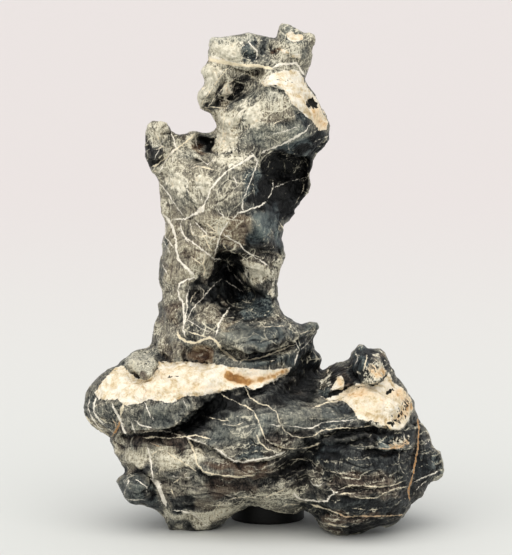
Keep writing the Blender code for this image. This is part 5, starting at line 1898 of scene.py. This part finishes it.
    def drawn_veins(self, count: int) -> tuple[Socket, Socket]:
        """Each layer shows where the offset, wobbled by the grain, is within the half width.

        Args:
            count: how many layers the points hold.
        Returns:
            The cover of all layers, and the colour of the one on top.
        """
        wobble = self.total(-2.5, ("wobble", 3.6), ("grit", 1.4))
        thin = self.total(-1.72, ("mottle", 2.8))
        cover: object = 0.0
        tint: object = 0.0
        for index in range(count):
            offset, reach, filling = self.held(f"veins_{index}")
            moved = self.add_node("Math", {0: offset, 1: wobble}, operation="ADD")[0]
            gap = self.add_node("Math", {0: moved}, operation="ABSOLUTE")[0]
            fuller = self.add_node("Math", {0: reach, 1: thin}, operation="ADD")[0]
            inside = self.add_node("Math", {0: fuller, 1: gap}, operation="SUBTRACT")[0]
            shown = self.add_node("MapRange", {"Value": inside, "From Min": -0.26, "From Max": 0.26})[0]
            tint = self.add_node("Mix", {0: shown, 2: tint, 3: filling}, data_type="FLOAT")[0]
            cover = self.add_node("Math", {0: cover, 1: shown}, operation="MAXIMUM")[0]
        return cover, fill_ramp(self.add_node("ValToRGB", {"Fac": tint})[0], self.veins)

    def crusts(self, sheets: Outputs) -> tuple[Socket, Socket]:
        """Cover and colour of sandy crusts: the drawn distance, broken up by coarse and fine grain."""
        parts = ((sheets[1], 0.09), ("mottle", 2.4), ("speckle", 1.6), ("fibre_up", 1.2))
        cover = self.share(2.62, 0.35, *parts)
        return cover, fill_ramp(self.add_node("ValToRGB", {"Fac": self.grains["speckle"]})[0], self.crust)

    def sheet(self, sheets: Outputs, hairs: Socket) -> tuple[Socket, Socket]:
        """Sheets of calcite with crisp, wandering edges, mottled in cream, with brown cracks in places.

        Args:
            sheets: the drawn distances.
            hairs: where the hairlines are.
        Returns:
            The cover and the colour.
        """
        cover = self.share(3.4, 0.6, (sheets[0], 1.0), ("wobble", 4.5), ("mottle", 2.0), ("grit", 1.0))
        uneven = self.total(-0.51, ("mottle", 1.3), ("speckle", 0.36), ("grit", 0.36))
        colour = fill_ramp(self.add_node("ValToRGB", {"Fac": uneven})[0], self.calcite)
        cracked = self.share(1.22, 0.5, (hairs, 0.3), ("blotch", 1.8))
        mix = {0: cracked, 6: colour, 7: linear(self.calcite_crack)}
        return cover, self.add_node("Mix", mix, data_type="RGBA")[2]

    def stains(self, tints: Outputs, pale: Socket) -> list[tuple[Socket, object]]:
        """Iron stain on the calcite, peach where it is thin and brown where strong, and black specks over it.

        Args:
            tints: the drawn stain and specks.
            pale: where the sheets of calcite and the crusts are.
        Returns:
            Each one's cover and colour.
        """
        iron = fill_ramp(self.add_node("ValToRGB", {"Fac": self.grains["mottle"]})[0], self.iron)
        covers = []
        for over, start, width in ((linear(self.peach), 1.62, 0.7), (iron, 2.0, 0.5)):
            stained = self.share(start, width, (tints[0], 0.9), ("mottle", 2.0), ("blotch", 1.0))
            covers.append((self.add_node("Math", {0: stained, 1: pale}, operation="MULTIPLY")[0], over))
        specks = self.share(1.75, 0.08, (tints[1], 0.45), ("mottle", 1.0), ("speckle", 1.4))
        return [*covers, (specks, linear(self.speck))]

    def bump(self, calcite: Socket, drawn: Socket, strength: Socket) -> Socket:
        """Relief finer than the mesh: pits and grain 1 to 7 mm wide, with the calcite a little proud.

        Args:
            calcite: where the sheets of calcite are.
            drawn: where the drawn veins are.
            strength: how strong the grain is.
        Returns:
            The bent normal.
        """
        height = self.total(
            -1.0, ("mottle", 0.9), ("speckle", 0.45), ("grit", 0.25), ("fibre_up", 0.3), ("fibre_across", 0.3)
        )
        height = self.total(0.0, (height, strength), (calcite, 0.18), (drawn, 0.15))
        return self.add_node("Bump", {"Height": height, "Strength": 0.8, "Distance": 0.0022})[0]


@dataclass
class EbonisedWood(Finish):
    """A hardwood block turned, stained black and waxed: satin, with open grain that shows as fine lines."""

    name: str = "ebonised_hardwood"
    black: Stops = ((0.3, "#040404"), (0.6, "#0A0908"), (0.8, "#14110E"))
    lit_side_wood: str = "#8A5A22"
    grain_stretch: float = 0.08

    def dress(self, block: Block, axis: Array) -> bpy.types.Material:
        """Grain along X, centred on the block, and bare wood colour along the top of its right side: painted
        light for its lit side.

        Args:
            block: the block's size.
            axis: the middle of its foot, in the part's frame.
        Returns:
            The material.
        """
        own = self.add_node("Mapping", {"Vector": self.place, "Location": (-axis[0], -axis[1], 0.0)})[0]
        along = self.add_node("Mapping", {"Vector": own, "Scale": (self.grain_stretch, 1.0, 1.0)})[0]
        noise = {"Vector": along, "Scale": per_mm(0.9), "Detail": 3.0, "Roughness": 0.6}
        grain = self.add_node("TexNoise", noise)[0]
        colour = fill_ramp(self.add_node("ValToRGB", {"Fac": grain})[0], self.black)
        x, _, z = self.add_node("SeparateXYZ", {0: own})
        # painted light: bare wood colour on the top of the right side, where the block's lit side shows
        side, high = (
            self.add_node("MapRange", {"Value": at, "From Min": low * size, "From Max": top * size})[0]
            for at, low, top, size in ((x, 0.955, 0.985, block.radius), (z, 0.45, 0.6, block.height))
        )
        lit_side_wood = self.add_node("Math", {0: side, 1: high}, operation="MULTIPLY")[0]
        mixed = self.add_node("Mix", {0: lit_side_wood, 6: colour, 7: linear(self.lit_side_wood)}, data_type="RGBA")[2]
        bump = self.add_node("Bump", {"Height": grain, "Strength": 0.5, "Distance": 0.0003})[0]
        return self.complete(
            {"Base Color": mixed, "Roughness": 0.5, "IOR": 1.5, "Specular IOR Level": 0.3, "Normal": bump}
        )


@dataclass
class PaintedFloor(Finish):
    """Matt studio floor, a warm pale grey far off and slightly green near by, as painted cooler light there.
    """

    name: str = "matt_painted_floor"
    # the slightly green near colour is painted cooler light
    near: str = "#CED0CE"
    far: str = "#CEC9C9"

    def dress(self) -> bpy.types.Material:
        """Builds the material, whose colour changes with the distance behind the object."""
        y = self.add_node("SeparateXYZ", {0: self.place})[1]
        span = {"Value": y, "From Min": -0.1, "From Max": 3.0}
        share = self.add_node("MapRange", span, interpolation_type="SMOOTHSTEP")[0]
        mix = {0: share, 6: linear(self.near), 7: linear(self.far)}
        mixed = self.add_node("Mix", mix, data_type="RGBA")[2]
        return self.complete({"Base Color": mixed, "Roughness": 0.7, "Specular IOR Level": 0.1})


@dataclass
class ScholarsRock:
    """The rock: its shape, what is drawn on it, and its finish."""

    sight: Sight
    finish: Limestone = field(default_factory=Limestone)

    def build(self) -> Thing:
        """Builds and dresses the rock, and moves it from the sketch's own frame to the part's.

        Returns:
            The rock, which stands for its frame solid.
        """
        rock = RockShape(self.sight).build()
        marks = RockMarks(self.sight)
        marks.draw(rock)
        write_points(rock, read_points(rock) + self.sight.place)
        rock.data.materials.clear()
        rock.data.materials.append(self.finish.dress(marks.layers))
        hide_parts("rock")
        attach(rock, "root")
        return rock


@dataclass
class StandBlock:
    """The small round block that the middle of the rock rests on."""

    sight: Sight
    size: Block = Block()
    sides: int = 96
    edge_steps: int = 5
    finish: EbonisedWood = field(default_factory=EbonisedWood)

    def profile(self) -> Array:
        """Radius and height from the foot's middle out, round both quarter-circle edges, and back in."""
        radius, height, edge = self.size.radius, self.size.height, self.size.edge
        turn = np.linspace(0, math.pi / 2, self.edge_steps)
        out, up = radius - edge, height - edge
        foot = np.stack([out + edge * np.sin(turn), edge * (1 - np.cos(turn))], axis=1)
        top = np.stack([out + edge * np.cos(turn), up + edge * np.sin(turn)], axis=1)
        return np.vstack([[[0.5 * radius, 0.0]], foot, top, [[0.5 * radius, height]]])

    def build(self) -> Thing:
        """The profile carried round the axis: (r cos a, r sin a, z), with a fan of triangles at each pole.

        Returns:
            The block, which stands for its frame solid.
        """
        angle = np.linspace(0, 2 * math.pi, self.sides, endpoint=False)
        axis = np.array([*self.size.centre, 0.0]) + self.sight.place
        radius, height = (column[:, None] for column in self.profile().T)
        skin = np.stack([radius * np.cos(angle), radius * np.sin(angle), height + 0 * angle], axis=2)
        row = np.arange(skin[..., 0].size).reshape(-1, self.sides)
        following = np.roll(row, -1, axis=1)
        walls = np.stack([row[:-1], following[:-1], following[1:], row[1:]], axis=2).reshape(-1, 4)
        poles = np.full((2, self.sides), [[row.size], [row.size + 1]])
        foot = np.stack([following[0], row[0], poles[0]], axis=1)
        top = np.stack([row[-1], following[-1], poles[1]], axis=1)
        points = np.vstack([skin.reshape(-1, 3), [[0, 0, 0], [0, 0, self.size.height]]]) + axis
        mesh = bpy.data.meshes.new("stand_block")
        mesh.from_pydata(points.tolist(), [], [*walls.tolist(), *foot.tolist(), *top.tolist()])
        mesh.shade_smooth()
        block = add_object("turned_block", mesh)
        mesh.materials.append(self.finish.dress(self.size, axis))
        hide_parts("stand_block")
        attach(block, "root")
        return block


@dataclass
class Studio:
    """The pale floor, the soft light and the camera."""

    sight: Sight
    floor_half: float = 45.0
    sky: str = "#F1F1F2"
    sky_strength: float = 0.83
    key_colour: str = "#FFFBF4"
    key_strength: float = 2.4
    key_direction: tuple[float, float, float] = (0.12, 0.65, -1.0)
    key_spread: float = math.radians(80)
    squares_high: int = 555
    sensor_width: float = 36.0
    furthest: float = 200.0
    finish: PaintedFloor = field(default_factory=PaintedFloor)

    def build_floor(self) -> None:
        """A flat square."""
        corners = self.floor_half * np.array([[-1, -1, 0], [1, -1, 0], [1, 1, 0], [-1, 1, 0]])
        mesh = bpy.data.meshes.new("floor")
        mesh.from_pydata(corners.tolist(), [], [(0, 1, 2, 3)])
        mesh.materials.append(self.finish.dress())
        add_object("floor", mesh)

    def build_lights(self) -> None:
        """A broad soft key from the upper left of the front, and an even pale sky."""
        lamp = bpy.data.lights.new("key", "SUN")
        lamp.energy = self.key_strength
        lamp.angle = self.key_spread
        lamp.color = linear(self.key_colour)[:3]
        turn = Vector(self.key_direction).to_track_quat("-Z", "Y")
        add_object("key", lamp).rotation_euler = turn.to_euler()
        world = bpy.data.worlds.new("pale_room")
        world.use_nodes = True
        background = world.node_tree.nodes["Background"]
        background.inputs["Color"].default_value = linear(self.sky)
        background.inputs["Strength"].default_value = self.sky_strength
        bpy.context.scene.world = world

    def build_camera(self) -> None:
        """A long lens at the sketch's eye, so that one square of the sketch is one picture element."""
        lens = bpy.data.cameras.new("camera")
        lens.sensor_width = self.sensor_width
        lens.lens = self.sensor_width * self.sight.distance / (self.squares_high * self.sight.square)
        lens.clip_end = self.furthest
        right, forward, up = self.sight.axes()
        camera = add_object("camera", lens)
        turned = Matrix([right, up, -forward]).transposed().to_4x4()
        camera.matrix_world = Matrix.Translation(self.sight.eye() + self.sight.place) @ turned
        bpy.context.scene.camera = camera

    def build(self) -> None:
        """Builds the whole studio."""
        self.build_floor()
        self.build_lights()
        self.build_camera()
        bpy.context.scene.view_settings.view_transform = "Standard"


def main() -> None:
    """Builds the rock, its block and the studio in order, and reports each piece."""
    logging.basicConfig(level=logging.INFO, format="%(name)s: %(message)s")
    sight = Sight()
    for piece in (ScholarsRock(sight).build(), StandBlock(sight).build()):
        LOG.info("%s has %d triangles", piece.name, count_triangles(piece))
    Studio(sight).build()


if __name__ == "__main__":
    main()
